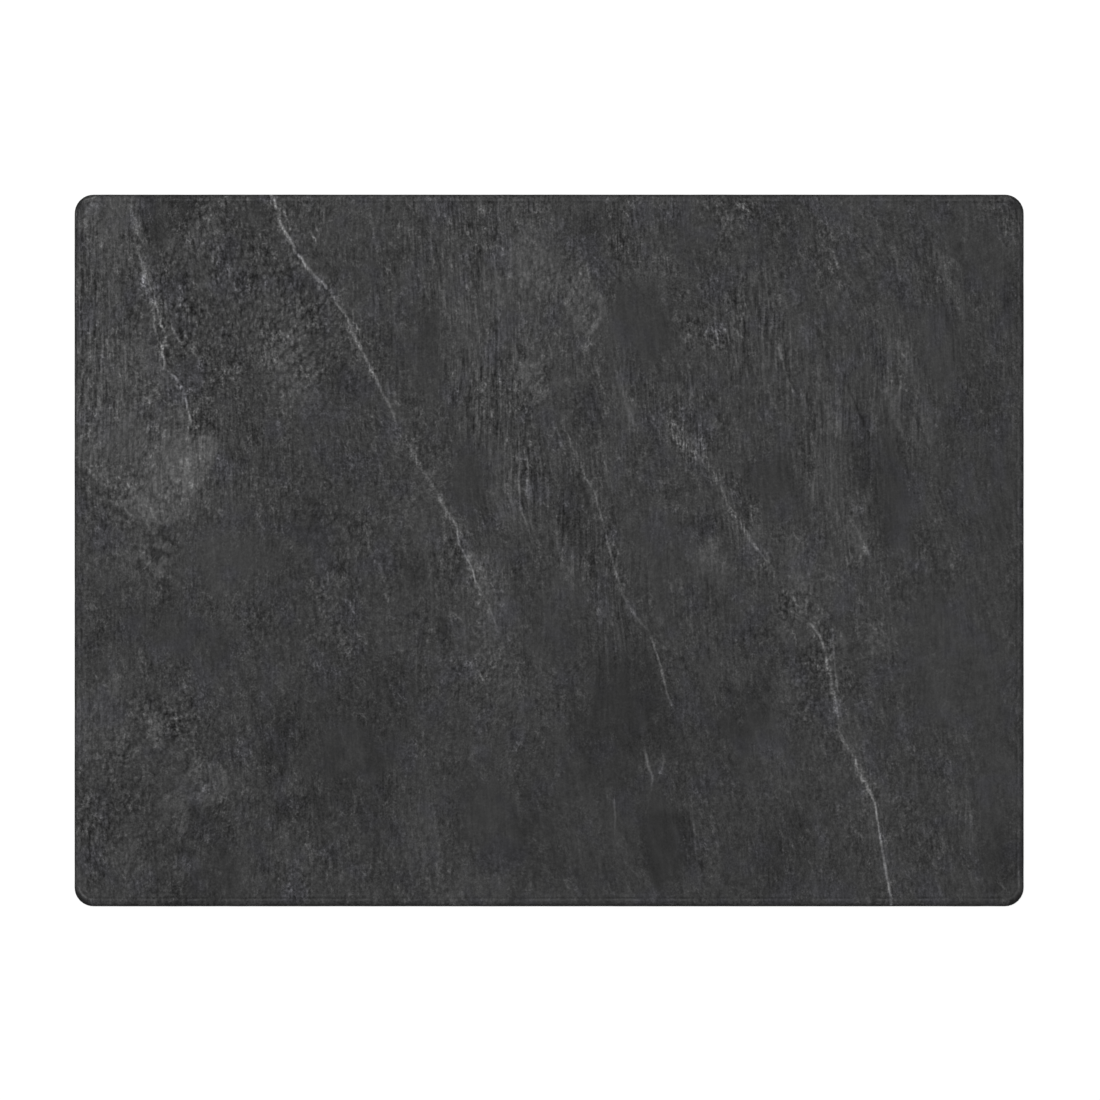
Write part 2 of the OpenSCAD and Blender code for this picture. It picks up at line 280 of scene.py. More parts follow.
# Softer patches: (x, y, half length, half breadth, lean, shade, edge), with lean in degrees from +Y towards
# -X, shade in shades of grey, and edge from 0, soft, to 1, crisp
PATCHES = [
    (-174, 140, 11, 3, 12, 5, 0.3), (82, 19, 15, 4, 32, 2, 0.3), (-169.6, 112, 9, 2.6, 14, 8, 0.3),
    (-165.6, 99, 9, 2.6, 14, 4, 0.3), (-160, 34, 18, 17, 0, 5, 0.0), (35, -95, 60, 55, 0, -3, 0.2),
    (-90, -92, 50, 42, 0, -3, 0.2), (-171, 19, 9, 6, 40, 9, 0.5), (-197, 62, 26, 4, 0, -4, 0.3),
    (-186, 128, 24, 14, 8, 7, 0.4), (-152, 118, 11, 9, 0, -4, 0.3), (-144, 136, 7, 8, 60, 7, 0.3),
    (-112, 90, 22, 11, 10, 7, 0.3), (-115, 82, 8, 8, 0, 7, 0.4), (-104, 68, 9, 8, 0, 5, 0.4),
    (-86, 72, 12, 7, 15, -7, 0.4), (-74, 118, 13, 13, 0, -5, 0.3), (-52, 88, 20, 9, 5, -5, 0.5),
    (-84, 45, 12, 10, 0, -4, 0.3), (-98, 10, 12, 9, 0, -5, 0.5), (-184, -6, 9, 12, 0, 4, 0.3),
    (-183, -58, 15, 11, 0, 3, 0.2), (-165, -77, 11, 5, 20, 8, 0.6), (-172, -129, 9, 6, 0, 4, 0.3),
    (-196, -78, 18, 4, 0, 6, 0.3), (-181, -105, 15, 10, 10, -4, 0.2), (-113, -75, 16, 6, -20, -5, 0.5),
    (-62, -55, 9, 13, 0, -4, 0.3), (-53, -118, 15, 9, 0, 6, 0.4), (-38, -139, 9, 24, 0, 4, 0.3),
    (-30, -112, 20, 13, 0, -3, 0.7), (-8, -120, 22, 11, 10, -5, 0.3), (-28, -22, 28, 10, 8, 8, 0.4),
    (-30, -10, 10, 6, 15, 6, 0.3), (-33, 28, 20, 8, 8, -7, 0.6), (-17, 28, 24, 7, 4, 6, 0.6),
    (-56, -8, 12, 11, 0, -5, 0.3), (-8, 120, 14, 8, 10, 10, 0.4), (-12, 105, 40, 32, 10, 5, 0.3),
    (-39, 104, 12, 5, 10, 6, 0.3), (20, 137, 10, 12, 0, -7, 0.3), (32, 60, 14, 5, 18, 6, 0.4),
    (14, 60, 8, 7, 0, -6, 0.4), (9, 18, 20, 7, 8, -5, 0.3), (24, 34, 12, 6, 28, 5, 0.4),
    (9, -5, 9, 4, 18, 9, 0.5), (8, -33, 10, 14, 0, -3, 0.3), (57, 51, 11, 6, 30, 7, 0.3),
    (80, 8, 14, 5, 40, 4, 0.3), (67, -5, 10, 6, 15, 13, 0.7), (68, 14, 6, 8, 0, -8, 0.5),
    (93, 28, 12, 14, 0, -6, 0.5), (108, -14, 16, 18, 0, 7, 0.3), (86, -34, 6, 9, 0, -6, 0.4),
    (79, -52, 5, 8, 0, 4, 0.3), (102, -54, 8, 4, 0, 7, 0.4), (95, -97, 6, 13, 0, 3, 0.3),
    (99, -126, 16, 12, 0, -6, 0.5), (139, -32, 9, 9, 0, 11, 0.3), (130, 3, 11, 5, 25, 5, 0.4),
    (104, 96, 22, 7, 16, 4, 0.4), (152, 66, 26, 6, 22, 4, 0.4), (161, 50, 14, 4, 20, 5, 0.5),
    (167, 113, 16, 5, 24, 3, 0.3), (95, 135, 16, 10, 25, -5, 0.3), (125, 138, 12, 8, 15, 4, 0.2),
    (76, 140, 4, 5, 0, 7, 0.4), (195, 110, 12, 5, 0, -7, 0.3), (180, 62, 26, 14, 10, -3, 0.3),
    (-126, 138, 14, 9, 0, -4, 0.5), (-186, -74, 22, 15, 0, 4, 0.2), (-112, -36, 26, 30, 0, -3, 0.2),
    (-92, -34, 25, 6, 5, 3, 0.4), (-129, -110, 4, 4, 0, 5, 0.4), (-106, -98, 6, 5, 0, 4, 0.4),
    (-82, -103, 6, 3, 0, 6, 0.4), (-107, -128, 12, 8, 10, 4, 0.4), (-174, -131, 9, 8, 0, 3, 0.3),
    (70, -120, 16, 4, 0, 4, 0.4), (121, 84, 6, 3, 20, 5, 0.5), (123, 110, 5, 3, 20, 5, 0.4),
    (96, 115, 6, 2.5, 10, 5, 0.4), (-172, 13, 9, 12, 0, 6, 0.4), (-183, 28, 8, 9, 40, 5, 0.4),
    (-160, 60, 8, 5, 0, -8, 0.3), (-170, -78, 9, 9, 0, 6, 0.3), (-15, 73, 7, 7, 0, 4, 0.3),
    (9, 66, 5, 4, 0, 6, 0.3), (19, 84, 5, 5, 0, 6, 0.3), (88, 6, 9, 4, 35, 6, 0.3),
    (101, -30, 7, 6, 0, 5, 0.3), (-18, -56, 14, 7, 20, 4, 0.3), (22, -6, 18, 5, 8, -5, 0.3),
    (43, -36, 6, 6, 0, -4, 0.3), (175, 112, 34, 22, 0, -2, 0.2), (-130, 25, 10, 12, 0, 4, 0.2),
    (-112, 82, 26, 26, 0, 2, 0.2), (126, -102, 30, 20, 0, 2, 0.2), (190, -130, 14, 11, 0, -6, 0.3),
    (174, -107, 15, 5, 8, 3, 0.3), (132, -90, 50, 6, 14, 3, 0.2), (22.9, -26.5, 5, 2.2, 5, 6, 0.6),
    (-166, 22, 12, 14, 0, 2, 0.2), (-167, -2, 10, 10, 0, 10, 0.2), (-191, 16, 13, 9, 0, 3, 0.2),
    (-180, 8, 6, 5, 0, -3, 0.2), (-130, 60, 12, 6, 0, 4, 0.2), (-65, 84, 16, 6, 8, -5, 0.3),
    (-99, 38, 5, 4, 0, 5, 0.3), (-25, 36, 8, 3, 5, 5, 0.4), (-97, -5, 4, 10, 0, 4, 0.3),
    (-22, -37, 9, 4, 5, 4, 0.3), (-9, -65, 10, 10, 0, 2, 0.2), (123, -43, 8, 4, 10, 4, 0.3),
    (126, -85, 10, 6, 10, 2, 0.3), (84, -4, 8, 5, 30, 4, 0.3), (181, -138, 6, 10, 0, 5, 0.3),
    (164, -134, 6, 5, 0, 4, 0.3), (-132, -115, 9, 5, 0, -4, 0.3), (-167, -54, 5, 7, 0, -4, 0.3),
    (-182, -47, 5, 6, 0, -4, 0.3), (-131, 117, 6, 6, 0, 4, 0.3), (-140, 130, 6, 5, 0, 4, 0.3),
    (115, 108, 6, 4, 10, 5, 0.3), (2, 88, 7, 5, 0, 5, 0.3), (45, 118, 20, 5, 10, 3, 0.2),
    (84, 140, 6, 10, 0, 3, 0.2), (46, 146, 6, 8, 0, 3, 0.2), (61.5, 2, 6, 3, 10, 5, 0.4),
    (91, -54, 3, 9, 0, -6, 0.4), (-53, -12, 16, 4, 5, -5, 0.3), (-80, -28, 8, 5, 0, -4, 0.3),
    (27, 13, 5, 9, 0, -5, 0.3), (89, -60, 8, 8, 0, -4, 0.3), (188, 8, 12, 8, 0, -4, 0.2),
    (-200, -22, 8, 4, 0, -5, 0.2), (-22, 147, 4, 6, 0, 6, 0.3), (-178, -136, 12, 4, -15, 5, 0.3),
    (-57, 25, 8, 5, 15, 4, 0.3), (66, 40, 5, 6, 0, 5, 0.3), (-79, 96, 7, 5, 20, 4, 0.3),
    (-172, 95, 6, 5, 0, 5, 0.3), (-152, 90, 10, 5, 10, 4, 0.3), (-12, 72, 8, 5, 10, 4, 0.3),
    (155, 98, 8, 5, 10, -4, 0.3), (48, 14, 10, 6, 10, 3, 0.2), (92, 6, 8, 4, 10, 3, 0.3),
    (-74, 68, 12, 7, 5, -4, 0.3), (165, -146, 4, 14, 0, 4, 0.2), (30, -98, 6, 12, 0, -3, 0.3),
    (-46, -98, 5, 5, 0, -5, 0.3), (197, 143, 5, 4, 0, -6, 0.3), (-199, 125, 26, 3, 0, -6, 0.3),
    (-154.5, 39, 9, 2.5, 0, -7, 0.0), (-151, 38, 14, 9, 0, 5, 0.0), (-143.5, 41, 8, 4, 0, 5, 0.0),
    (-162, 49, 5, 4, 0, -5, 0.0), (-154, 49, 4, 3, 0, -5, 0.0), (97, 82, 9, 6, 0, -5, 0.2),
    (-165, 62, 6, 6, 0, -4, 0.2), (58, 56, 5, 5, 0, 4, 0.2),
]

# Where the grain is rougher: (x, y, half length, half breadth, lean, strength added)
ROUGH_PLACES = [
    (81, 20, 18, 6, 32, 0.6), (-150, 95, 62, 56, 0, 0.5), (-108, 95, 30, 14, 20, 0.35),
    (-178, 24, 9, 11, 0, 0.4), (-190, -110, 30, 14, 0, 0.5), (-156, -76, 10, 12, 0, 0.9),
    (-20, 68, 18, 22, 40, 0.7), (-10, 34, 14, 8, 0, 0.8), (-20, 138, 14, 30, 0, 0.35),
    (3, 113, 8, 8, 0, 0.6), (28, 124, 10, 8, 0, 0.5), (70, 92, 8, 12, 0, 0.9), (80, 143, 8, 10, 0, 0.8),
    (120, 124, 8, 6, 0, 0.2), (60, 46, 14, 10, 30, 0.6), (24, 4, 12, 6, 10, 0.2),
    (-32, -5, 24, 10, 15, 0.3), (-28, -52, 10, 14, 0, 0.4), (-88, -30, 26, 9, 5, 0.3),
    (105, -22, 10, 8, 0, 0.6), (118, -50, 26, 10, 10, 0.5), (138, -30, 7, 8, 0, 0.5),
    (44, -90, 7, 7, 0, 0.5), (-105, -132, 12, 20, 0, 0.3), (85, 105, 16, 16, 40, 0.3),
    (145, 75, 24, 7, 20, 0.3), (110, 45, 14, 6, 5, 0.3), (8, 16, 22, 9, 8, 0.3),
    (192, 139, 12, 7, 0, 0.2), (190, -138, 14, 8, 0, 0.2), (-165, -72, 8, 14, 60, 0.5),
    (-93, -32, 26, 9, 5, 0.3), (-146, -106, 12, 10, 0, 0.5), (-150, 38, 12, 12, 0, 0.35),
]

# Where the face has split into scales: (x, y, half length, half breadth, lean, share of scales added)
SCALY_PLACES = [
    (-132, 108, 44, 44, 0, 0.9), (-98, 76, 26, 20, 0, 0.6), (-170, 18, 16, 18, 0, 0.9),
    (-88, 8, 30, 24, 0, 0.5), (-46, -12, 30, 14, 20, 0.3), (-160, -76, 14, 16, 0, 0.9),
    (-182, -112, 30, 16, 0, 0.7), (-144, -100, 14, 10, 0, 0.6), (4, 112, 26, 24, 0, 0.8),
    (0, 68, 12, 8, 0, 0.6), (78, 140, 10, 14, 0, 0.8), (-28, -48, 16, 12, 0, 0.4),
    (108, -36, 30, 12, 10, 0.6), (-60, 40, 30, 18, 0, 0.4), (-108, -36, 14, 20, 0, 0.5),
    (-35, -130, 14, 40, 0, 0.5), (122, 124, 24, 75, 0, 0.4),
]

# Where cobbles with dark gaps show: (x, y, half length, half breadth, lean, strength)
COBBLED_PLACES = [
    (-166, -2, 11, 11, 0, 1.3), (-105, 100, 30, 16, 0, 0.4), (-55, 30, 14, 8, 20, 0.4),
    (-7, 69, 9, 9, 0, 0.5), (-165, -128, 14, 18, 0, 0.4), (-176, 18, 8, 9, 0, 0.3),
    (-88, 4, 16, 16, 0, 0.4),
]

# Where long fibres show: (x, y, half length, half breadth, lean, strength added)
FIBROUS_PLACES = [
    (-194, 92, 60, 10, 0, 2.0), (-10, 28, 24, 11, 4, 1.6), (118, 52, 44, 20, 16, 1.2),
    (145, 70, 34, 14, 22, 1.0), (-45, 128, 24, 20, 4, 0.8), (86, 94, 30, 18, 12, 1.7),
    (14, 2, 20, 10, 10, 1.1), (160, 110, 30, 12, 22, 0.8), (30, -20, 30, 12, 8, 0.8),
    (58, -118, 20, 8, 3, 0.8), (175, -108, 24, 8, 6, 0.8), (-26, 65, 24, 14, 0, 2.0),
    (-16, 122, 34, 16, 0, 0.9), (-45, -35, 30, 14, 4, 0.8), (22, -38, 16, 5, 3, 0.9),
    (24, -24, 28, 24, 8, 0.4), (75, -26, 26, 26, 4, 0.5), (125, -24, 26, 26, 6, 0.5),
    (172, -24, 26, 22, 4, 0.4), (-178, 75, 26, 16, 0, 0.5), (-190, -72, 26, 12, 0, 1.0),
]

# Where the grain is worn smooth: (x, y, half length, half breadth, lean, share of the grain taken away)
SMOOTH_PLACES = [
    (38.5, 95, 17, 14, 10, 0.7), (145, 22, 28, 7, 12, 0.75), (30, -66, 16, 15, 0, 0.7),
    (-25, -113, 16, 14, 15, 0.75), (48, -122, 18, 7, 4, 0.8), (-85, -85, 12, 22, 0, 0.65),
    (85, -76, 12, 14, 0, 0.65), (170, -45, 34, 17, 0, 0.6), (165, 86, 16, 12, 0, 0.5),
    (180, 128, 18, 12, 20, 0.5), (188, -80, 60, 10, 0, 0.5), (-134, -4, 16, 16, 0, 0.5),
    (-152, -36, 9, 26, 0, 0.6), (4, -30, 20, 15, 0, 0.5), (-52, 82, 26, 9, 8, 0.55),
    (-34, 30, 20, 7, 8, 0.6), (42, 0, 26, 14, 15, 0.45), (95, 27, 14, 9, 0, 0.6),
    (62, 130, 16, 9, 10, 0.35), (20, -110, 30, 30, 0, 0.35), (0, -85, 75, 65, 0, 0.14),
    (185, 20, 34, 12, 0, 0.4), (-162, 140, 10, 10, 10, 0.4), (-146, 116, 13, 8, 10, 0.35),
    (-125, 138, 10, 6, 0, 0.5), (-140, -140, 10, 14, 0, 0.4),
]

# Drift is worked out on a lattice of seeded heights with this many cells each way
LATTICE = 300

# Drift fields as layers of (strength, cell along X, cell along Y, seed), with cells in millimetres
TEAR_ACROSS = [(2.4, 9, 13, 11), (1.2, 3.5, 7, 12)]
TEAR_ALONG = [(4.5, 7, 22, 13), (5.0, 3.0, 15, 14)]
SHADE_DRIFT = [(2.2, 6, 34, 21), (1.8, 3.2, 15, 22)]
GRAIN_DRIFT = [(0.2, 24, 30, 31)]
FLOW_ACROSS = [(2.6, 55, 60, 41), (1.2, 18, 26, 42)]
FLOW_ALONG = [(3.0, 50, 40, 43)]
FACE_WAVES = [(0.07, 70, 55, 51), (0.05, 26, 32, 52)]
FACE_RIDGES = [(0.035, 3.0, 11, 53), (0.025, 1.6, 5, 54)]
UNDER_DRIFT = [(1.0, 34, 28, 71)]
RIM_DRIFT = [(0.35, 5, 5, 81)]
SIDE_LAYER_CELL = 7
SIDE_LAYER_SEED = 60

# Leaning ellipses: how fast a soft one fades, where a crisp one ends, and how crisp each kind of place is
BELL_FALL = 1.4
CRISP_END = (0.72, 1.18)
ROUGH_EDGE = 0.3
SMOOTH_EDGE = 0.7
SHARE_EDGE = 0.4

# Shade of the face: what areas count, how far their outlines are torn, slope per millimetre, and lean
AREA_SHARE = 1.3
TEAR_SHARE = 0.4
SHADE_SLOPE_X = -0.006
SHADE_SLOPE_Y = 0.011
SHADE_LEAN = 0.2
SHADE_LEAN_TURN = (20, 140)

# Strength of the grain: in the middle, its slope per millimetre, and its limits
MIDDLE_GRAIN = 0.9
GRAIN_SLOPE = 0.0006
GRAIN_LIMITS = (0.1, 1.8)

# Lean of the grain: on the left, how much more on the right, and between which places it turns
FLOW_LEAN = 0.02
FLOW_LEAN_MORE = 0.05
FLOW_LEAN_TURN = (-60, 60)

# Share of scales in the grain: in front, how much less behind, and between which places it turns
SCALES_IN_FRONT = 0.55
SCALES_LESS_BEHIND = 0.3
SCALES_TURN = (-40, 60)
MOST_SCALES = 1.0
MOST_FIBRES = 2.0
MOST_COBBLES = 1.5

# Relief in millimetres: the riven face, the layers on the side, and the hollow of the underside, which
# grows over the last value's share of the way to the middle
MEAN_DEPTH = 0.26
PROUD_PER_SHADE = 0.009
DEEPEST = 0.7
PLATE_SLOPE = 1.0
SIDE_LAYER_DEPTH = 0.09
LAYERS_ABOVE_UNDERSIDE = (0.4, 2.6)
LAYERS_BELOW_FACE = (-3.2, -0.6)
UNDER_RISE = 0.1
UNDER_RISE_END = 0.25

# Painted shade on the border's roll in shades of grey, and the stretches of its section in millimetres
ROLL_PAINTED_SHADE = 32
ROLL_STRETCH = (1.7, 3.2)
FRONT_PAINTED_SHADE = 9
RIGHT_PAINTED_SHADE = 3
FACING_STRETCH = (0.2, 3.0)
CORNER_PAINTED_SHADE = 14
CORNER_STRETCH = (-0.2, 1.5)
SIDE_STRETCH = (4.2, 5.6)
# The underside is darker by this many shades of grey all over
UNDER_DARK = 8.0

# Where a corner's painted shade sets in, from 0 on a straight edge to 1 half-way round
CORNER_BEND = (0.15, 0.75)

# Share of the painted shade that drift is added to
RIM_SHARE = 0.85

# The painted lines round the edge lie this much further in along the front, over this reach, in millimetres
FRONT_EDGE_SHIFT = 0.7
FRONT_EDGE_REACH = 12

# Noise in the slate: (cells in millimetres across the grain, along it and through it), detail, roughness
STREAK_NOISE = (1.1, 10.0, 0.9), 2.0, 0.55
FIBRE_NOISE = (1.0, 8.5, 0.9), 2.0, 0.5
THREAD_NOISE = (1.7, 30.0, 1.2), 1.0, 0.5
GRIT_NOISE = (0.85, 0.95, 0.7), 2.0, 0.65
BUMP_NOISE = (2.3, 4.2, 1.6), 1.0, 0.5
BAND_NOISE = (3.6, 30.0, 2.0), 2.0, 0.5
CLUMP_NOISE = (8.0, 14.0, 6.0), 1.0, 0.5
ISLAND_NOISE = (1.3, 1.7, 1.0), 1.5, 0.5
LUMP_NOISE = (4.6, 5.4, 4.0), 1.0, 0.5
DUST_NOISE = (0.42, 0.42, 0.42), 1.0, 0.6
WAVER_NOISE = (2.2, 3.0, 2.0), 2.0, 0.6
BREAK_NOISE = (5.0, 7.0, 4.0), 1.0, 0.5
RAGGED_NOISE = (2.0, 4.0, 1.6), 3.0, 0.65
PATCHY_NOISE = (9.0, 9.0, 5.0), 2.0, 0.5
LAYER_NOISE = (16.0, 16.0, 0.32), 3.0, 0.65
BLUE_NOISE = (13.0, 15.0, 9.0), 2.0, 0.5

# Scattered cells in the slate, and how far patterns are moved, in millimetres, and turned, in degrees
SCALE_CELLS = (1.9, 2.5, 1.6)
COBBLE_CELLS = (3.4, 4.2, 3.4)
CELL_SMOOTHNESS = 0.15
SCALE_AHEAD = (0.22, -0.16, 0)
SCALE_BEHIND = (-0.22, 0.16, 0)
THREAD_MOVE = (31.0, 17.0, 0.0)
THREAD_TURN = 1.5
BUMP_TURN = -10.0
COBBLE_TURN = 25.0

# Smooth steps in the slate: (low, high, bottom, top)
PALE_THREADS = (0.05, 0.17, 0.0, 1.0)
DARK_THREADS = (-0.17, -0.05, -1.0, 0.0)
CLUMPS = (-0.16, 0.16, 0.75, 1.25)
ISLANDS = (-0.1, 0.1, -4.0, 4.0)
BESIDE_VEIN = (5.5, 0.8, 0.0, 1.0)
STREAKS_BY_SCALES = (0.1, 0.75, 58.0, 20.0)
COBBLE_GAPS = (0.42, 0.64, 4.0, -18.0)
LUMPS_BY_SCALES = (0.25, 0.65, 0.0, 1.0)
SPECKS = (0.14, 0.38, 0.0, 1.0)
DUST_BY_STRENGTH = (0.0, 1.0, 6.0, 30.0)
BREAKS = (-0.14, 0.12, 0.75, 1.1)
PLATE_EDGE = (-0.5, 0.5, 0.0, 1.0)
# Patchiness of the painted highlight and shade round the edge
PATCHY_PAINTED_EDGE = (-0.16, 0.16, 0.3, 1.7)
SAWN_FROM = (4.0, 5.2, 0.0, 1.0)
SAWN_TO = (9.0, 7.6, 0.0, 1.0)
BLUE_PLACES = (-0.02, 0.2, 0.0, 0.085)
BLUE_BY_SHADE = (18.0, 4.0, 0.0, 1.0)
SLATE_ROUGHNESS = (-0.2, 0.2, 0.88, 0.74)
LINE_SWING = (0.7, 0.95, 0.4, 1.0)
LINE_RIDGE = (1.3, 0.0, 0.0, 1.0)
LEAST_CRUMBS = (0.65, 1.4, 0.9, 0.2)
CRUMB_STEP = (-0.36, 0.1)
MOST_CRUMBS = 1.25
CRUMBS_BY_BREADTH = 0.15

# Strengths in the slate, in shades of grey
SLATE_SHADE = 54.6
BAND_SHADES = 14.0
FIBRE_SHADES = 10.0
FIBROUS_SHADES = 20.0
THREAD_SHADES = 1.2
FIBROUS_THREAD_SHADES = 7.0
GRIT_SHADES = 48.0
BUMP_SHADES = 26.0
# Painted light and shade on the scales, and painted shade in their crevices
PAINTED_LIT_SHADES = 28.0
CREVICE_PAINTED_SHADES = 20.0
LUMP_SHADES = 15.0
SPECK_SHADES = 15.0
BESIDE_SHADES = 5.0
LAYER_SHADES = 40.0
SLATE_STOPS = (12, 30, 45, 60, 75, 95, 120, 160, 220)

# Other strengths in the slate: beside a vein, in a scale, and in millimetres of wavering and tearing
BESIDE_GLOW = 45
BESIDE_GRAIN = 0.35
SCALE_MEAN = 0.42
STREAK_WAVER = 0.8
NOISE_WAVER = 1.5
RAGGED_REACH = 4.5
SLATE_SPECULAR = 0.15

# Lines that run round the edge: a painted highlight where the roll starts, painted shade just inside it,
# and a fainter pale line further in, as (place past the flat's rim, half breadth, shades of grey), in
# millimetres
PAINTED_EDGE_LINES = [(0.6, 0.7, 6.0), (-0.35, 0.6, -5.0), (-1.7, 0.7, 3.0)]

# Bump heights in millimetres
STREAK_HEIGHT = 0.4
GRIT_HEIGHT = 0.3
BUMP_HEIGHT = 0.5
FIBRE_HEIGHT = 0.1
PORE_HEIGHT = 0.03
MOTTLE_HEIGHT = 0.05
CELL_HEIGHT = 0.08

# Rubber: noise and smooth steps as in the slate, and strengths in shades of grey
RUBBER_MOTTLE = (2.5, 2.5, 2.5), 3.0, 0.6
RUBBER_PORES = (0.25, 0.25, 0.25), 2.0, 0.6
RUBBER_DUST = (0.6, 0.6, 0.6), 3.0, 0.7
DUST_STEP = (0.14, 0.3, 0.0, 1.0)
RUBBER_ROUGHNESS = (-0.2, 0.2, 0.62, 0.82)
RUBBER_SHADE = 36.0
MOTTLE_SHADES = 16.0
PORE_SHADES = 10.0
DUST_SHADES = 22.0
RUBBER_STOPS = (10, 30, 50, 80, 120)
RUBBER_SPECULAR = 0.4

# Foam: the same, and how many shades its green and blue fall behind its red
FOAM_CELLS = (0.22, 0.22, 0.22), 2.0, 0.6
FOAM_PATCHES = (3.0, 3.0, 3.0), 2.0, 0.5
FOAM_ROUGHNESS = (-0.2, 0.2, 0.9, 0.7)
FOAM_SHADE = 206.0
CELL_SHADES = 60.0
PATCH_SHADES = 30.0
FOAM_STOPS = (120, 170, 210, 240)
GREEN_BEHIND = 4
BLUE_BEHIND = 16

# Feet and pads, in millimetres and degrees, and the steps round them and along their sections
FOOT_DRAFT = 15.0
FOOT_SKIRT = 0.8
FOOT_RIM = 0.8
FOOT_SKIRT_EDGE = 0.2
SKIRT_TURNS_IN = -60
PAD_WOBBLE = 0.03
WOBBLE_WAVES = (3, 7)
TURN_STEPS = 64
ARC_STEPS = 7
PAD_ARC_STEPS = 9
CROWN_STEPS = 5
SIDE_STEPS = 7
BASE_STEPS = 6

# Studio: floor in millimetres, white that is seen, and lamps as (name, watts, side, place) in metres
FLOOR_HALF = 1500.0
FLOOR_DROP = 0.02
FLOOR_WHITE = 0.9
FLOOR_SEEN = 0.75
FLOOR_LEVEL = 1.16
WORLD_LIGHT = 0.42
WORLD_SEEN = 1.0
WORLD_LEVEL = 1.0
LAMPS = [("overhead", 22.0, 0.8, (0, 0, 2.4)), ("back_left", 17.0, 1.0, (-0.9, 1.1, 1.5))]

# The picture is 1100 pixels square: the board's outline spans 949.2 of them, centred on (549.13, 550.47)
PICTURE_PIXELS = 1100
BOARD_PIXELS = 949.2
BOARD_CENTRE_PIXEL = (549.13, 550.47)
LENS = 150.0
SENSOR = 36.0


def linear(shade):
    """Linear light of a grey written as a display shade from 0 to 255, by the standard display curve."""
    share = shade / FULL_SHADE
    return share / 12.92 if share <= 0.04045 else ((share + 0.055) / 1.055) ** 2.4


def plain_greys(levels):
    """Colour stops that are plain greys, each at its own shade."""
    return [(level, (linear(level),) * 3) for level in levels]


def ease(low, high, value):
    """0 below low, 1 above high, and the smooth cubic 3t^2 - 2t^3 between them."""
    t = np.clip((value - low) / (high - low), 0, 1)
    return t * t * (3 - 2 * t)


def drift(x, y, cell_x, cell_y, seed):
    """Smooth random field from -1 to 1: seeded heights on a lattice, joined by the smooth cubic."""
    column = (x + HALF_LENGTH) / cell_x + 1
    row = (y + HALF_WIDTH) / cell_y + 1
    i = np.floor(column).astype(int) % LATTICE
    j = np.floor(row).astype(int) % LATTICE
    heights = np.random.default_rng(seed).uniform(-1, 1, (LATTICE + 1, LATTICE + 1))
    s = ease(0, 1, column - np.floor(column))
    t = ease(0, 1, row - np.floor(row))
    below = heights[j, i] * (1 - s) + heights[j, i + 1] * s
    above = heights[j + 1, i] * (1 - s) + heights[j + 1, i + 1] * s
    return below * (1 - t) + above * t


def drifts(x, y, layers):
    """The sum of several drift fields, each times its strength."""
    return sum(strength * drift(x, y, cell_x, cell_y, seed) for strength, cell_x, cell_y, seed in layers)


def rough_edges(x, y):
    """Places moved by drift, most of all along the grain, so that a plate's edge splits into tongues."""
    return x + drifts(x, y, TEAR_ACROSS), y + drifts(x, y, TEAR_ALONG)


def within(x, y, place, edge):
    """1 inside a leaning ellipse, 0 outside: a bell of the distance if soft, a smooth step if crisp."""
    centre_x, centre_y, half_length, half_breadth, lean = place
    turn = math.radians(lean)
    along = (-(x - centre_x) * math.sin(turn) + (y - centre_y) * math.cos(turn)) / half_length
    across = ((x - centre_x) * math.cos(turn) + (y - centre_y) * math.sin(turn)) / half_breadth
    distance = np.hypot(along, across)
    bell = np.exp(-BELL_FALL * distance**2)
    step = 1 - ease(*CRISP_END, distance)
    return bell * (1 - edge) + step * edge


def inside_by(x, y, corners):
    """Distance inside a many-cornered outline, below 0 outside it.

    The nearest side gives the distance. A place is inside where a line from it towards +X crosses an odd
    number of sides.
    """
    nearest = np.full(x.shape, np.inf)
    odd = np.zeros(x.shape, bool)
    for (start_x, start_y), (end_x, end_y) in zip(corners, corners[1:] + corners[:1]):
        step_x = end_x - start_x
        step_y = end_y - start_y
        run = np.clip(((x - start_x) * step_x + (y - start_y) * step_y) / (step_x**2 + step_y**2), 0, 1)
        nearest = np.minimum(nearest, np.hypot(x - start_x - run * step_x, y - start_y - run * step_y))
        if step_y:
            between = (start_y > y) != (end_y > y)
            odd ^= between & (x < start_x + step_x * (y - start_y) / step_y)
    return np.where(odd, nearest, -nearest)


def deepest_plate(x, y, plates):
    """Distance inside the plate that a place is deepest in or nearest to, and that plate's shade."""
    inside = np.full(x.shape, -PLATE_REACH)
    tone = np.zeros(x.shape)
    for shade, corners in plates:
        depth = np.clip(inside_by(x, y, corners), -PLATE_REACH, PLATE_REACH)
        deeper = depth > inside
        inside = np.where(deeper, depth, inside)
        tone = np.where(deeper, shade, tone)
    return inside, tone


def face_shade(x, y):
    """Lighter and darker areas in shades of grey.

    They are the sum of soft patches, plates with a soft outline, an even slope and drift along the grain.
    """
    moved_x, moved_y = rough_edges(x, y)
    shade = sum(tone * within(moved_x, moved_y, place, edge) for *place, tone, edge in PATCHES)
    torn_x = (1 - TEAR_SHARE) * x + TEAR_SHARE * moved_x
    torn_y = (1 - TEAR_SHARE) * y + TEAR_SHARE * moved_y
    for tone, softness, corners in CUT_PLATES:
        shade = shade + tone * ease(-softness, softness, inside_by(torn_x, torn_y, corners))
    slope = SHADE_SLOPE_X * x + SHADE_SLOPE_Y * y
    across = x + SHADE_LEAN * y * (1 + ease(*SHADE_LEAN_TURN, x))
    return AREA_SHARE * shade + slope + drifts(across, y, SHADE_DRIFT)


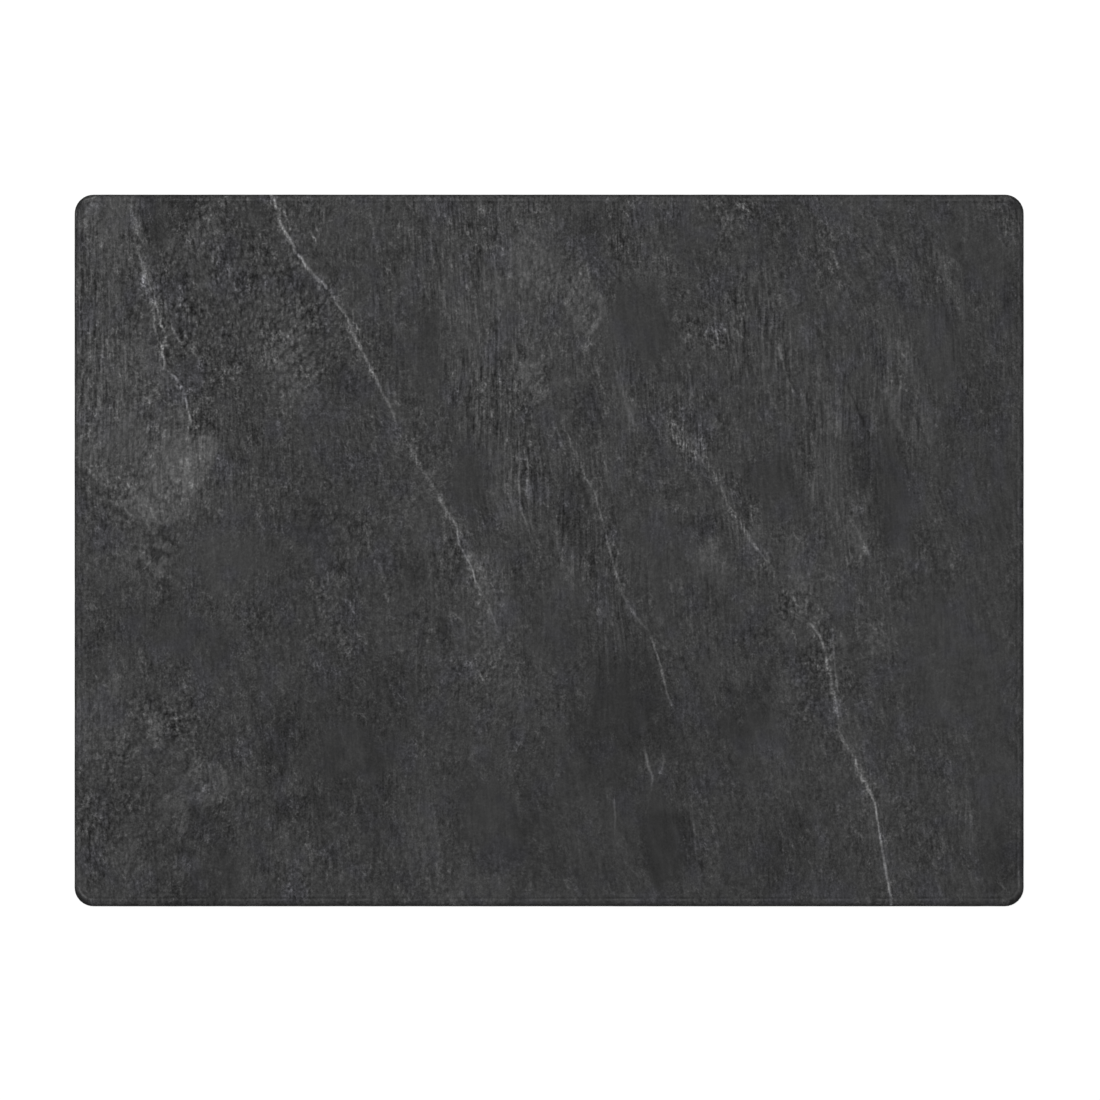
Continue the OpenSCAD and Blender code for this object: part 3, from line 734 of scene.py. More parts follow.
def face_grain(x, y):
    """Strength of the grain: most at the back left, least at the front right, less in smooth places."""
    moved_x, moved_y = rough_edges(x, y)
    grain = MIDDLE_GRAIN - GRAIN_SLOPE * x + GRAIN_SLOPE * y + drifts(x, y, GRAIN_DRIFT)
    for *place, more in ROUGH_PLACES:
        grain = grain + more * within(moved_x, moved_y, place, ROUGH_EDGE)
    for *place, less in SMOOTH_PLACES:
        grain = grain * (1 - less * within(moved_x, moved_y, place, SMOOTH_EDGE))
    return np.clip(grain, *GRAIN_LIMITS)


def share_of(x, y, places, most):
    """How much of something lies at a place: the sum of soft leaning ellipses, up to the most."""
    moved_x, moved_y = rough_edges(x, y)
    share = sum(strength * within(moved_x, moved_y, place, SHARE_EDGE) for *place, strength in places)
    return np.clip(share, 0, most)


def grain_flow(x, y):
    """Places across and along the grain, which leans more towards the right and wavers by drift."""
    lean = FLOW_LEAN + FLOW_LEAN_MORE * ease(*FLOW_LEAN_TURN, x)
    return x + lean * y + drifts(x, y, FLOW_ACROSS), y + drifts(x, y, FLOW_ALONG)


def nearest_line(x, y, lines, reach):
    """Signed distance to the nearest of some lines, and its glow and half breadth there.

    Each line's points are joined straight. The foot of the perpendicular on each stretch, held between its
    ends, gives the distance, and the side of the stretch gives the sign. The glow fades out at the reach.
    """
    away = np.full(x.shape, np.inf)
    glow = np.zeros(x.shape)
    breadth = np.ones(x.shape)
    for line in lines:
        points = np.array(line)
        for start, end in zip(points[:-1], points[1:]):
            step = end[:2] - start[:2]
            run = np.clip(((x - start[0]) * step[0] + (y - start[1]) * step[1]) / (step @ step), 0, 1)
            off_x = x - start[0] - run * step[0]
            off_y = y - start[1] - run * step[1]
            distance = np.hypot(off_x, off_y)
            side = np.where(step[0] * off_y - step[1] * off_x < 0, -1.0, 1.0)
            nearer = distance < np.abs(away)
            away = np.where(nearer, side * distance, away)
            glow = np.where(nearer, start[2] + run * (end[2] - start[2]), glow)
            breadth = np.where(nearer, start[3] + run * (end[3] - start[3]), breadth)
    glow = glow * (1 - ease(GLOW_FADE * reach, reach, np.abs(away)))
    return np.clip(away, -reach, reach), glow, breadth


def face_depth(x, y, shade, grain):
    """Depth of the riven face below its highest point, in millimetres.

    Pale plates stand proud and dark ones lie lower. Long waves and short ridges along the grain add to it.
    """
    waves = drifts(x, y, FACE_WAVES)
    ridges = drifts(*grain_flow(x, y), FACE_RIDGES)
    return np.clip(MEAN_DEPTH - PROUD_PER_SHADE * shade + waves + grain * ridges, 0.0, DEEPEST)


def flat_grid():
    """The flat of the face as a grid of (x, y): even cells, with its corners bent into quarter discs.

    A corner's square (s, t) goes to (s sqrt(1 - t^2 / 2), t sqrt(1 - s^2 / 2)), which turns its outer sides
    into an arc.
    """
    radius = CORNER_RADIUS - UPPER_ROLL

    def stations(half, cells):
        corner = np.linspace(0, radius, CELLS_CORNER + 1)
        middle = np.linspace(-half + radius, half - radius, cells - 2 * CELLS_CORNER + 1)
        return np.concatenate([-half + corner[:-1], middle, half - radius + corner[1:]])

    half_x = HALF_LENGTH - UPPER_ROLL
    half_y = HALF_WIDTH - UPPER_ROLL
    x, y = np.meshgrid(stations(half_x, CELLS_LONG), stations(half_y, CELLS_WIDE))
    core_x = np.clip(x, -half_x + radius, half_x - radius)
    core_y = np.clip(y, -half_y + radius, half_y - radius)
    s = (x - core_x) / radius
    t = (y - core_y) / radius
    bent_x = core_x + radius * s * np.sqrt(1 - t**2 / 2)
    bent_y = core_y + radius * t * np.sqrt(1 - s**2 / 2)
    return bent_x.ravel(), bent_y.ravel()


def border_profile():
    """The border's section as (outward step, height, run along the section) from the flat to the underside.

    A quarter circle rolls the upper edge, a straight side follows, and a smaller quarter circle eases the
    lower edge.
    """
    turn = np.linspace(0, math.pi / 2, ROLL_RINGS + 1)[1:]
    roll = np.stack([UPPER_ROLL * np.sin(turn), FACE_Z - UPPER_ROLL * (1 - np.cos(turn))], 1)
    side_z = np.linspace(FACE_Z - UPPER_ROLL, UNDER_Z + LOWER_ROLL, SIDE_RINGS + 1)[1:]
    side = np.stack([np.full(SIDE_RINGS, UPPER_ROLL), side_z], 1)
    turn = np.linspace(0, math.pi / 2, EASE_RINGS + 1)[1:]
    lower = [UPPER_ROLL - LOWER_ROLL * (1 - np.cos(turn)), UNDER_Z + LOWER_ROLL * (1 - np.sin(turn))]
    section = np.concatenate([roll, side, np.stack(lower, 1)])
    start = np.concatenate([[[0, FACE_Z]], section])
    run = np.cumsum(np.hypot(*np.diff(start, axis=0).T))
    return section[:, :1], section[:, 1:], run[:, None]


def rim_order():
    """Grid numbers of the flat's rim, counter-clockwise seen from above."""
    wide = CELLS_LONG + 1
    number = np.arange(wide * (CELLS_WIDE + 1)).reshape(CELLS_WIDE + 1, wide)
    return np.concatenate([number[0, :-1], number[:-1, -1], number[-1, :0:-1], number[:0:-1, 0]])


def outward(rim_x, rim_y):
    """Unit steps outwards along the flat's rim: square to a straight edge, away from a corner's centre."""
    arc_x = np.clip(rim_x, -HALF_LENGTH + CORNER_RADIUS, HALF_LENGTH - CORNER_RADIUS)
    arc_y = np.clip(rim_y, -HALF_WIDTH + CORNER_RADIUS, HALF_WIDTH - CORNER_RADIUS)
    return np.stack([rim_x - arc_x, rim_y - arc_y]) / np.hypot(rim_x - arc_x, rim_y - arc_y)


def border_rings(rim_x, rim_y, rim_depth, out):
    """Points of the border, one row for each ring: the flat's rim moved outwards by the section's steps.

    Layers of the stone show on the side as rings drawn in a little, by drift along the rim. The depth of
    the face at its rim runs out over the roll.
    """
    step, height, run = border_profile()
    below_face = 1 - ease(*LAYERS_BELOW_FACE, height - FACE_Z)
    on_side = ease(*LAYERS_ABOVE_UNDERSIDE, height - UNDER_Z) * below_face
    layers = np.stack([drift(rim_x, rim_y, SIDE_LAYER_CELL, SIDE_LAYER_CELL, SIDE_LAYER_SEED + ring)
                       for ring in range(len(step))])
    drawn_in = SIDE_LAYER_DEPTH * on_side * (1 + layers) / 2
    sunk = rim_depth * np.clip(1 - run / UPPER_ROLL, 0, 1)
    return rim_x + out[0] * (step - drawn_in), rim_y + out[1] * (step - drawn_in), height - sunk, run


def under_rings(rim_x, rim_y):
    """Points of the underside, one row for each ring: its rim drawn to the middle, and raised by drift."""
    shrink = (1 - np.linspace(0, 1, UNDER_RINGS + 2)[1:-1])[:, None]
    x = rim_x * shrink
    y = rim_y * shrink
    rise = UNDER_RISE * (1 + drifts(x, y, UNDER_DRIFT))
    return x, y, UNDER_Z + rise * ease(0, UNDER_RISE_END, 1 - shrink)


def ring_quads(rings):
    """Four-sided faces between rows of point numbers, each row a closed ring."""
    after = np.roll(rings, -1, axis=1)
    return np.stack([rings[:-1], rings[1:], after[1:], after[:-1]], -1).reshape(-1, 4).tolist()


def slab_faces(rim, grid_points, ring_count):
    """Faces of the slab: the grid's cells, bands from ring to ring, and a fan to the last point."""
    wide = CELLS_LONG + 1
    cell = (np.arange(CELLS_WIDE)[:, None] * wide + np.arange(CELLS_LONG)).ravel()
    cells = np.stack([cell, cell + 1, cell + 1 + wide, cell + wide], 1).tolist()
    ring_points = ring_count * len(rim)
    rings = np.concatenate([rim[None], grid_points + np.arange(ring_points).reshape(ring_count, -1)])
    middle = np.full(len(rim), grid_points + ring_points)
    fan = np.stack([rings[-1], middle, np.roll(rings[-1], -1)], 1).tolist()
    return cells + ring_quads(rings) + fan


def mesh_object(name, vertices, faces, material):
    """A smooth-shaded mesh object at the origin, from points in millimetres and faces of point numbers."""
    mesh = bpy.data.meshes.new(name)
    mesh.from_pydata((np.asarray(vertices) * MM).tolist(), [], faces)
    mesh.polygons.foreach_set("use_smooth", np.ones(len(mesh.polygons), bool))
    mesh.materials.append(material)
    mesh.update()
    piece = bpy.data.objects.new(name, mesh)
    bpy.context.scene.collection.objects.link(piece)
    return piece


def store(piece, name, values):
    """Keeps one number, or one triple, per point of a piece for its material to read."""
    values = np.asarray(values, np.float32)
    if values.ndim == 1:
        piece.data.attributes.new(name, "FLOAT", "POINT").data.foreach_set("value", values)
    else:
        piece.data.attributes.new(name, "FLOAT_VECTOR", "POINT").data.foreach_set("vector", values.ravel())


def store_markings(slab, x, y, z):
    """Keeps the slab's shade, grain, flow, lines and plates at its points."""
    store(slab, "shade", face_shade(x, y))
    scales = share_of(x, y, SCALY_PLACES, MOST_SCALES)
    scales = scales + SCALES_IN_FRONT - SCALES_LESS_BEHIND * ease(*SCALES_TURN, y)
    fibres = share_of(x, y, FIBROUS_PLACES, MOST_FIBRES)
    store(slab, "grain", np.stack([face_grain(x, y), np.minimum(scales, MOST_SCALES), fibres], 1))
    store(slab, "cobbled", share_of(x, y, COBBLED_PLACES, MOST_COBBLES))
    store(slab, "flow", np.stack([*grain_flow(x, y), z], 1))
    for name, lines, reach in LINE_SETS:
        store(slab, name, np.stack(nearest_line(x, y, lines, reach), 1))
    for name, plates in PLATE_SETS:
        store(slab, name, np.stack([*deepest_plate(x, y, plates), np.zeros(len(x))], 1))


def painted_rim_shade(border_x, border_y, out, run):
    """Painted shade on the border in shades of grey, uneven by drift, with none on the side.

    The roll is painted dark all round, where it turns from the light, more so where it faces the front or
    the right, and most at the corners.
    """
    front = np.maximum(-out[1], 0)
    right = np.maximum(out[0], 0)
    bend = ease(*CORNER_BEND, 2 * np.abs(out[0] * out[1]))
    # Painted shade: the roll darkens where it turns from the light, most at the front, right and corners
    dark = ROLL_PAINTED_SHADE * ease(*ROLL_STRETCH, run)
    dark = dark + ease(*FACING_STRETCH, run) * (FRONT_PAINTED_SHADE * front + RIGHT_PAINTED_SHADE * right)
    dark = dark + ease(*CORNER_STRETCH, run) * bend * CORNER_PAINTED_SHADE * (1 + front)
    uneven = RIM_SHARE + drifts(border_x, border_y, RIM_DRIFT)
    return -dark * uneven * (1 - ease(*SIDE_STRETCH, run))


def past_rim(x, y):
    """Distance past the flat's rim, a rectangle with rounded corners, and below 0 inside it."""
    past_x = np.abs(x) - (HALF_LENGTH - CORNER_RADIUS)
    past_y = np.abs(y) - (HALF_WIDTH - CORNER_RADIUS)
    from_corner = np.hypot(np.maximum(past_x, 0), np.maximum(past_y, 0))
    return from_corner + np.minimum(np.maximum(past_x, past_y), 0) - (CORNER_RADIUS - UPPER_ROLL)


def riven_slab(material):
    """The slab as one closed skin: a grid for the riven face, rings down the border and rings underneath.

    Its points also keep the shade painted on the border and the darker underside, and how far they lie past
    the flat's rim, measured along the border's section and a little more in front.
    """
    x, y = flat_grid()
    plates = [deepest_plate(x, y, plates) for _, plates in PLATE_SETS]
    raised = sum(tone * ease(-PLATE_SLOPE, PLATE_SLOPE, inside) for inside, tone in plates)
    depth = face_depth(x, y, face_shade(x, y) + raised, face_grain(x, y))
    rim = rim_order()
    out = outward(x[rim], y[rim])
    border_x, border_y, border_z, run = border_rings(x[rim], y[rim], depth[rim], out)
    under_x, under_y, under_z = under_rings(border_x[-1], border_y[-1])

    points_x = np.concatenate([x, border_x.ravel(), under_x.ravel(), [0]])
    points_y = np.concatenate([y, border_y.ravel(), under_y.ravel(), [0]])
    points_z = np.concatenate([FACE_Z - depth, border_z.ravel(), under_z.ravel(), [UNDER_Z + UNDER_RISE]])
    faces = slab_faces(rim, len(x), len(border_x) + len(under_x))
    slab = mesh_object("riven_slate_slab", np.stack([points_x, points_y, points_z], 1), faces, material)

    store_markings(slab, points_x, points_y, points_z)
    underneath = np.ones(under_x.size + 1)
    # Painted shade on the border, and the darker underside, are kept together as the rim attribute
    painted_border_shade = painted_rim_shade(border_x, border_y, out, run).ravel()
    store(slab, "rim", np.concatenate([np.zeros(len(x)), painted_border_shade, -UNDER_DARK * underneath]))
    border_run = np.broadcast_to(run, border_x.shape).ravel()
    front = FRONT_EDGE_SHIFT * (1 - ease(-HALF_WIDTH, -HALF_WIDTH + FRONT_EDGE_REACH, points_y))
    store(slab, "edge", np.concatenate([past_rim(x, y), border_run, run[-1] * underneath]) + front)
    return slab


class Recipe:
    """The nodes of one material, written as sums: each call adds a node and gives back its output."""

    def __init__(self, name):
        self.material = bpy.data.materials.new(name)
        self.material.use_nodes = True
        self.tree = self.material.node_tree
        self.surface = self.tree.nodes["Principled BSDF"]

    def put(self, socket, value):
        """Links an output to a socket, or sets the socket to a number, triple or colour."""
        if isinstance(value, bpy.types.NodeSocket):
            self.tree.links.new(value, socket)
        else:
            socket.default_value = value

    def math(self, operation, *values):
        """One sum of the Math node."""
        node = self.tree.nodes.new("ShaderNodeMath")
        node.operation = operation
        for socket, value in zip(node.inputs, values):
            self.put(socket, value)
        return node.outputs[0]

    def add(self, *values):
        """The sum of several values."""
        total = values[0]
        for value in values[1:]:
            total = self.math("ADD", total, value)
        return total

    def times(self, *values):
        """The product of several values."""
        total = values[0]
        for value in values[1:]:
            total = self.math("MULTIPLY", total, value)
        return total

    def ramp(self, value, low, high, bottom=0.0, top=1.0):
        """The smooth step of a value: bottom at low, top at high."""
        node = self.tree.nodes.new("ShaderNodeMapRange")
        node.interpolation_type = "SMOOTHSTEP"
        limits = (("From Min", low), ("From Max", high), ("To Min", bottom), ("To Max", top))
        for name, number in (("Value", value), *limits):
            self.put(node.inputs[name], number)
        return node.outputs["Result"]

    def place(self):
        """Object coordinates, in millimetres."""
        node = self.tree.nodes.new("ShaderNodeTexCoord")
        return self.stretch(node.outputs["Object"], (1 / MM, 1 / MM, 1 / MM))

    def stretch(self, vector, scale=(1, 1, 1), turn=0.0, move=(0, 0, 0)):
        """A vector scaled along each axis, turned about Z, in degrees, and moved."""
        node = self.tree.nodes.new("ShaderNodeMapping")
        self.put(node.inputs["Vector"], vector)
        node.inputs["Rotation"].default_value = (0, 0, math.radians(turn))
        node.inputs["Scale"].default_value = scale
        node.inputs["Location"].default_value = move
        return node.outputs["Vector"]

    def stored(self, name, kind="Fac"):
        """A number or triple that the piece keeps at its points."""
        node = self.tree.nodes.new("ShaderNodeAttribute")
        node.attribute_name = name
        return node.outputs[kind]

    def parts(self, vector):
        """The three numbers of a triple."""
        node = self.tree.nodes.new("ShaderNodeSeparateXYZ")
        self.put(node.inputs[0], vector)
        return node.outputs

    def noise(self, vector, cells, detail, roughness):
        """Noise about 0, from -0.5 to 0.5, with cells of these sizes in millimetres."""
        node = self.tree.nodes.new("ShaderNodeTexNoise")
        self.put(node.inputs["Vector"], self.stretch(vector, tuple(1 / size for size in cells)))
        node.inputs["Scale"].default_value = 1.0
        node.inputs["Detail"].default_value = detail
        node.inputs["Roughness"].default_value = roughness
        return self.math("SUBTRACT", node.outputs["Fac"], 0.5)

    def rounded_cells(self, vector, cells):
        """Distance from the middle of the nearest scattered cell, 0 to about 1, smooth where cells meet."""
        node = self.tree.nodes.new("ShaderNodeTexVoronoi")
        node.feature = "SMOOTH_F1"
        self.put(node.inputs["Vector"], self.stretch(vector, tuple(1 / size for size in cells)))
        node.inputs["Scale"].default_value = 1.0
        node.inputs["Smoothness"].default_value = CELL_SMOOTHNESS
        return node.outputs["Distance"]

    def greys(self, shade, stops):
        """A colour ramp from a shade of grey, 0 to 255, through stops of (shade, colour)."""
        node = self.tree.nodes.new("ShaderNodeValToRGB")
        self.put(node.inputs["Fac"], self.math("DIVIDE", shade, FULL_SHADE))
        marks = node.color_ramp.elements
        while len(marks) < len(stops):
            marks.new(0.5)
        for mark, (position, colour) in zip(marks, stops):
            mark.position = position / FULL_SHADE
            mark.color = (*colour, 1)
        return node.outputs["Color"]

    def bump(self, height):
        """Tilts the surface by a height in millimetres."""
        node = self.tree.nodes.new("ShaderNodeBump")
        node.inputs["Strength"].default_value = 1.0
        node.inputs["Distance"].default_value = MM
        self.put(node.inputs["Height"], height)
        self.put(self.surface.inputs["Normal"], node.outputs["Normal"])


def line_glow(slate, name, waver, speckle, broken):
    """A vein or hairline: a ridge across its stored distance, which wavers and breaks up.

    Where the line is broad, it swings more and falls into crumbs.
    """
    away, glow, breadth = slate.parts(slate.stored(name, "Vector"))
    swing = slate.times(waver, slate.ramp(breadth, *LINE_SWING))
    distance = slate.math("ABSOLUTE", slate.add(away, swing))
    ridge = slate.ramp(slate.math("DIVIDE", distance, breadth), *LINE_RIDGE)
    least = slate.ramp(breadth, *LEAST_CRUMBS)
    spread = slate.math("SUBTRACT", speckle, slate.times(breadth, CRUMBS_BY_BREADTH))
    crumbs = slate.ramp(spread, *CRUMB_STEP, least, MOST_CRUMBS)
    return slate.times(ridge, glow, crumbs, broken)


def plate_shade(slate, name, ragged):
    """The shade of one set of plates, inside their stored outline with its edge torn by noise."""
    inside, tone, _ = slate.parts(slate.stored(name, "Vector"))
    return slate.times(slate.ramp(slate.add(inside, ragged), *PLATE_EDGE), tone)


def painted_edge_lines(slate, edge, place):
    """Painted highlight and shade round the edge, patchy: ridges across the distance past the flat's rim.
    """
    patchy = slate.ramp(slate.noise(place, *PATCHY_NOISE), *PATCHY_PAINTED_EDGE)
    lines = []
    for past, half_breadth, shades in PAINTED_EDGE_LINES:
        distance = slate.math("ABSOLUTE", slate.math("SUBTRACT", edge, past))
        lines.append(slate.times(slate.ramp(distance, half_breadth, 0.0), patchy, shades))
    return lines


def painted_lit_scales(slate, flow):
    """Scales with painted light and shade as if lit from one side, and painted shade in dark crevices.

    The light is the slope of the distance from the cells' middles.
    """
    ahead = slate.rounded_cells(slate.stretch(flow, move=SCALE_AHEAD), SCALE_CELLS)
    behind = slate.rounded_cells(slate.stretch(flow, move=SCALE_BEHIND), SCALE_CELLS)
    lit = slate.math("SUBTRACT", behind, ahead)
    crevices = slate.math("SUBTRACT", SCALE_MEAN, slate.times(slate.add(ahead, behind), 0.5))
    return slate.add(slate.times(lit, PAINTED_LIT_SHADES), slate.times(crevices, CREVICE_PAINTED_SHADES))


def long_threads(slate, flow, fibrous):
    """Long pale and dark threads: the two ends of one noise, stronger where fibres show."""
    fibres = slate.noise(slate.stretch(flow, turn=THREAD_TURN, move=THREAD_MOVE), *THREAD_NOISE)
    threads = slate.add(slate.ramp(fibres, *PALE_THREADS), slate.ramp(fibres, *DARK_THREADS))
    return slate.times(threads, slate.add(slate.times(fibrous, FIBROUS_THREAD_SHADES), THREAD_SHADES))


def cobbles(slate, flow, place, scaly):
    """Soft lumps where the face is scaly, and cobbles with dark gaps where it is cobbled."""
    cells = slate.rounded_cells(slate.stretch(flow, turn=COBBLE_TURN), COBBLE_CELLS)
    gaps = slate.ramp(cells, *COBBLE_GAPS)
    lumps = slate.times(slate.noise(place, *LUMP_NOISE), slate.ramp(scaly, *LUMPS_BY_SCALES), LUMP_SHADES)
    return slate.add(lumps, slate.times(gaps, slate.stored("cobbled")))


def slate_material():
    """Matte grey slate: stored shades, streaks and grit along the grain, scales, veins and the edge.

    The scales, the lines round the edge and the stored shade of the border are painted light and shade.
    """
    slate = Recipe("slate")
    flow = slate.stored("flow", "Vector")
    grain, scaly, fibrous = slate.parts(slate.stored("grain", "Vector"))
    edge = slate.stored("edge")
    place = slate.place()

    leaning = slate.stretch(flow, turn=BUMP_TURN)
    streaks = slate.noise(flow, *STREAK_NOISE)
    fibres = slate.noise(flow, *FIBRE_NOISE)
    grit = slate.noise(flow, *GRIT_NOISE)
    bumps = slate.noise(leaning, *BUMP_NOISE)
    bands = slate.noise(leaning, *BAND_NOISE)
    clumps = slate.ramp(slate.noise(leaning, *CLUMP_NOISE), *CLUMPS)
    islands = slate.ramp(slate.noise(flow, *ISLAND_NOISE), *ISLANDS)

    away, glow, _ = slate.parts(slate.stored("vein", "Vector"))
    near = slate.ramp(slate.math("ABSOLUTE", away), *BESIDE_VEIN)
    beside = slate.times(near, slate.times(glow, 1 / BESIDE_GLOW))
    strength = slate.times(slate.add(grain, slate.times(beside, BESIDE_GRAIN)), clumps)
    # The scales add painted light and shade to the texture
    texture = slate.add(slate.times(streaks, slate.ramp(scaly, *STREAKS_BY_SCALES)),
                        slate.times(grit, GRIT_SHADES), islands, slate.times(bumps, BUMP_SHADES),
                        slate.times(scaly, painted_lit_scales(slate, flow)))
    specks = slate.times(slate.ramp(slate.add(grit, bumps), *SPECKS), SPECK_SHADES)
    dust = slate.times(slate.noise(place, *DUST_NOISE), slate.ramp(strength, *DUST_BY_STRENGTH))
    rough = slate.add(slate.times(strength, slate.add(texture, specks)), dust,
                      cobbles(slate, flow, place, scaly))

    wander = slate.times(slate.noise(place, *WAVER_NOISE), NOISE_WAVER)
    waver = slate.add(slate.times(streaks, STREAK_WAVER), wander)
    broken = slate.ramp(slate.noise(place, *BREAK_NOISE), *BREAKS)
    speckle = slate.add(grit, streaks)
    lines = [line_glow(slate, name, waver, speckle, broken) for name, *_ in LINE_SETS]
    ragged = slate.times(slate.noise(flow, *RAGGED_NOISE), RAGGED_REACH)
    plates = [plate_shade(slate, name, ragged) for name, _ in PLATE_SETS]

    sawn = slate.times(slate.ramp(edge, *SAWN_FROM), slate.ramp(edge, *SAWN_TO))
    layers = slate.times(slate.noise(place, *LAYER_NOISE), sawn, LAYER_SHADES)
    fibrous_shades = slate.add(slate.times(fibrous, FIBROUS_SHADES), FIBRE_SHADES)
    # The stored rim and the edge lines add painted shade and highlight
    shade = slate.add(SLATE_SHADE, layers, slate.stored("shade"), slate.times(bands, BAND_SHADES),
                      slate.times(fibres, fibrous_shades), long_threads(slate, flow, fibrous),
                      rough, slate.times(beside, BESIDE_SHADES), *lines, *plates,
                      *painted_edge_lines(slate, edge, place), slate.stored("rim"))
    grey = slate.parts(slate.greys(shade, plain_greys(SLATE_STOPS)))
    blueness = slate.ramp(slate.noise(place, *BLUE_NOISE), *BLUE_PLACES)
    dark_places = slate.ramp(slate.add(slate.stored("shade"), *plates), *BLUE_BY_SHADE)
    blue = slate.add(1.0, slate.times(blueness, dark_places))
    colour = slate.tree.nodes.new("ShaderNodeCombineXYZ")
    slate.put(colour.inputs[0], grey[0])
    slate.put(colour.inputs[1], grey[1])
    slate.put(colour.inputs[2], slate.times(grey[2], blue))
    slate.put(slate.surface.inputs["Base Color"], colour.outputs[0])

    slate.put(slate.surface.inputs["Roughness"], slate.ramp(grit, *SLATE_ROUGHNESS))
    slate.surface.inputs["Specular IOR Level"].default_value = SLATE_SPECULAR
    relief = slate.add(slate.times(streaks, STREAK_HEIGHT), slate.times(grit, GRIT_HEIGHT),
                       slate.times(bumps, BUMP_HEIGHT))
    slate.bump(slate.add(slate.times(strength, relief), slate.times(fibres, FIBRE_HEIGHT)))
    return slate.material


def rubber_material():
    """Black moulded rubber: dull, faintly mottled, with fine moulding grain and a little pale dust."""
    rubber = Recipe("foot_rubber")
    place = rubber.place()
    mottle = rubber.noise(place, *RUBBER_MOTTLE)
    pores = rubber.noise(place, *RUBBER_PORES)
    dust = rubber.times(rubber.ramp(rubber.noise(place, *RUBBER_DUST), *DUST_STEP), DUST_SHADES)
    mottled = rubber.add(RUBBER_SHADE, rubber.times(mottle, MOTTLE_SHADES))
    shade = rubber.add(mottled, rubber.times(pores, PORE_SHADES), dust)
    rubber.put(rubber.surface.inputs["Base Color"], rubber.greys(shade, plain_greys(RUBBER_STOPS)))
    rubber.put(rubber.surface.inputs["Roughness"], rubber.ramp(mottle, *RUBBER_ROUGHNESS))
    rubber.surface.inputs["Specular IOR Level"].default_value = RUBBER_SPECULAR
    rubber.bump(rubber.add(rubber.times(pores, PORE_HEIGHT), rubber.times(mottle, MOTTLE_HEIGHT)))
    return rubber.material


def foam_material():
    """Off-white foam pad: tiny open cells, a little yellowed in patches."""
    foam = Recipe("adhesive_foam")
    place = foam.place()
    cells = foam.noise(place, *FOAM_CELLS)
    patches = foam.noise(place, *FOAM_PATCHES)
    shade = foam.add(FOAM_SHADE, foam.times(cells, CELL_SHADES), foam.times(patches, PATCH_SHADES))
    warm = [(level, (linear(level), linear(level - GREEN_BEHIND), linear(level - BLUE_BEHIND)))
            for level in FOAM_STOPS]
    foam.put(foam.surface.inputs["Base Color"], foam.greys(shade, warm))
    foam.put(foam.surface.inputs["Roughness"], foam.ramp(cells, *FOAM_ROUGHNESS))
    foam.bump(foam.times(cells, CELL_HEIGHT))
    return foam.material


def turned(name, radius, height, centre, material, wobble=0.0):
    """A closed round piece: a section of (radius, height), from top middle to base middle, turned on Z.

    The wobble draws the section in by up to that share of the radius, as two waves round the turn.
    """
    turns = np.linspace(0, 2 * math.pi, TURN_STEPS, endpoint=False)
    waves = sum(np.sin(count * turns + start) for count, start in zip(WOBBLE_WAVES, centre))
    waver = 1 - wobble * (2 + waves) / 4
    x = centre[0] + radius[1:-1, None] * np.cos(turns) * waver
    y = centre[1] + radius[1:-1, None] * np.sin(turns) * waver
    z = np.broadcast_to(height[1:-1, None], x.shape)
    ends = [[*centre, height[0]], [*centre, height[-1]]]
    vertices = np.concatenate([np.stack([x.ravel(), y.ravel(), z.ravel()], 1), ends])
    rings = np.arange(x.size).reshape(x.shape)
    top = np.stack([rings[0], np.roll(rings[0], -1), np.full(TURN_STEPS, x.size)], 1)
    base = np.stack([rings[-1], np.full(TURN_STEPS, x.size + 1), np.roll(rings[-1], -1)], 1)
    return mesh_object(name, vertices, ring_quads(rings) + top.tolist() + base.tolist(), material)


def arc(centre_r, centre_z, radius, start, end, steps=ARC_STEPS):
    """Points of an arc in the section, from one angle to another, in degrees from outwards towards up."""
    turn = np.radians(np.linspace(start, end, steps))
    return np.stack([centre_r + radius * np.cos(turn), centre_z + radius * np.sin(turn)], 1)


def foot_section(radius, height):
    """A foot's section from its top middle down: rounded skirt, tapered side, rounded rim, and base."""
    turn = math.radians(FOOT_DRAFT)
    skirt = height - FOOT_SKIRT
    offset = radius * math.cos(turn) - skirt * math.sin(turn)
    rim_r = (offset - FOOT_RIM + FOOT_RIM * math.sin(turn)) / math.cos(turn)
    edge = FOOT_SKIRT_EDGE
    crown = np.stack([np.linspace(0, radius - edge, CROWN_STEPS), np.full(CROWN_STEPS, height)], 1)[:-1]
    upper = arc(radius - edge, height - edge, edge, 90, 0)
    lower = arc(radius - edge, skirt + edge, edge, 0, SKIRT_TURNS_IN)
    rim = arc(rim_r, FOOT_RIM, FOOT_RIM, -FOOT_DRAFT, -90)
    side = np.linspace(lower[-1], rim[0], SIDE_STEPS)[1:-1]
    base = np.stack([np.linspace(rim_r, 0, BASE_STEPS), np.zeros(BASE_STEPS)], 1)[1:]
    return np.concatenate([crown, upper, lower, side, rim, base]).T


def pad_section(radius, low, high):
    """An adhesive pad's section from its top middle down: flat faces and a side that bulges."""
    half = (high - low) / 2
    edge = arc(radius - half, low + half, half, 90, -90, PAD_ARC_STEPS)
    return np.concatenate([[[0, high], [radius / 2, high]], edge, [[radius / 2, low], [0, low]]]).T


def place_foot(corner, rubber, foam):
    """One foot and its pad in place of the two plain solids at a corner."""
    node = "rubber_foot_" + corner
    low, high = (np.array(end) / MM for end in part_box(node))
    centre = (low[:2] + high[:2]) / 2
    foot = turned("moulded_foot_" + corner, *foot_section((high[0] - low[0]) / 2, high[2]), centre, rubber)
    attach(foot, "root")
    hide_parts(node)
    node = "adhesive_disc_" + corner
    low, high = (np.array(end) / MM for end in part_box(node))
    section = pad_section((high[0] - low[0]) / 2, low[2], high[2])
    pad = turned("foam_pad_" + corner, *section, centre, foam, PAD_WOBBLE)
    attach(pad, "root")
    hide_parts(node)


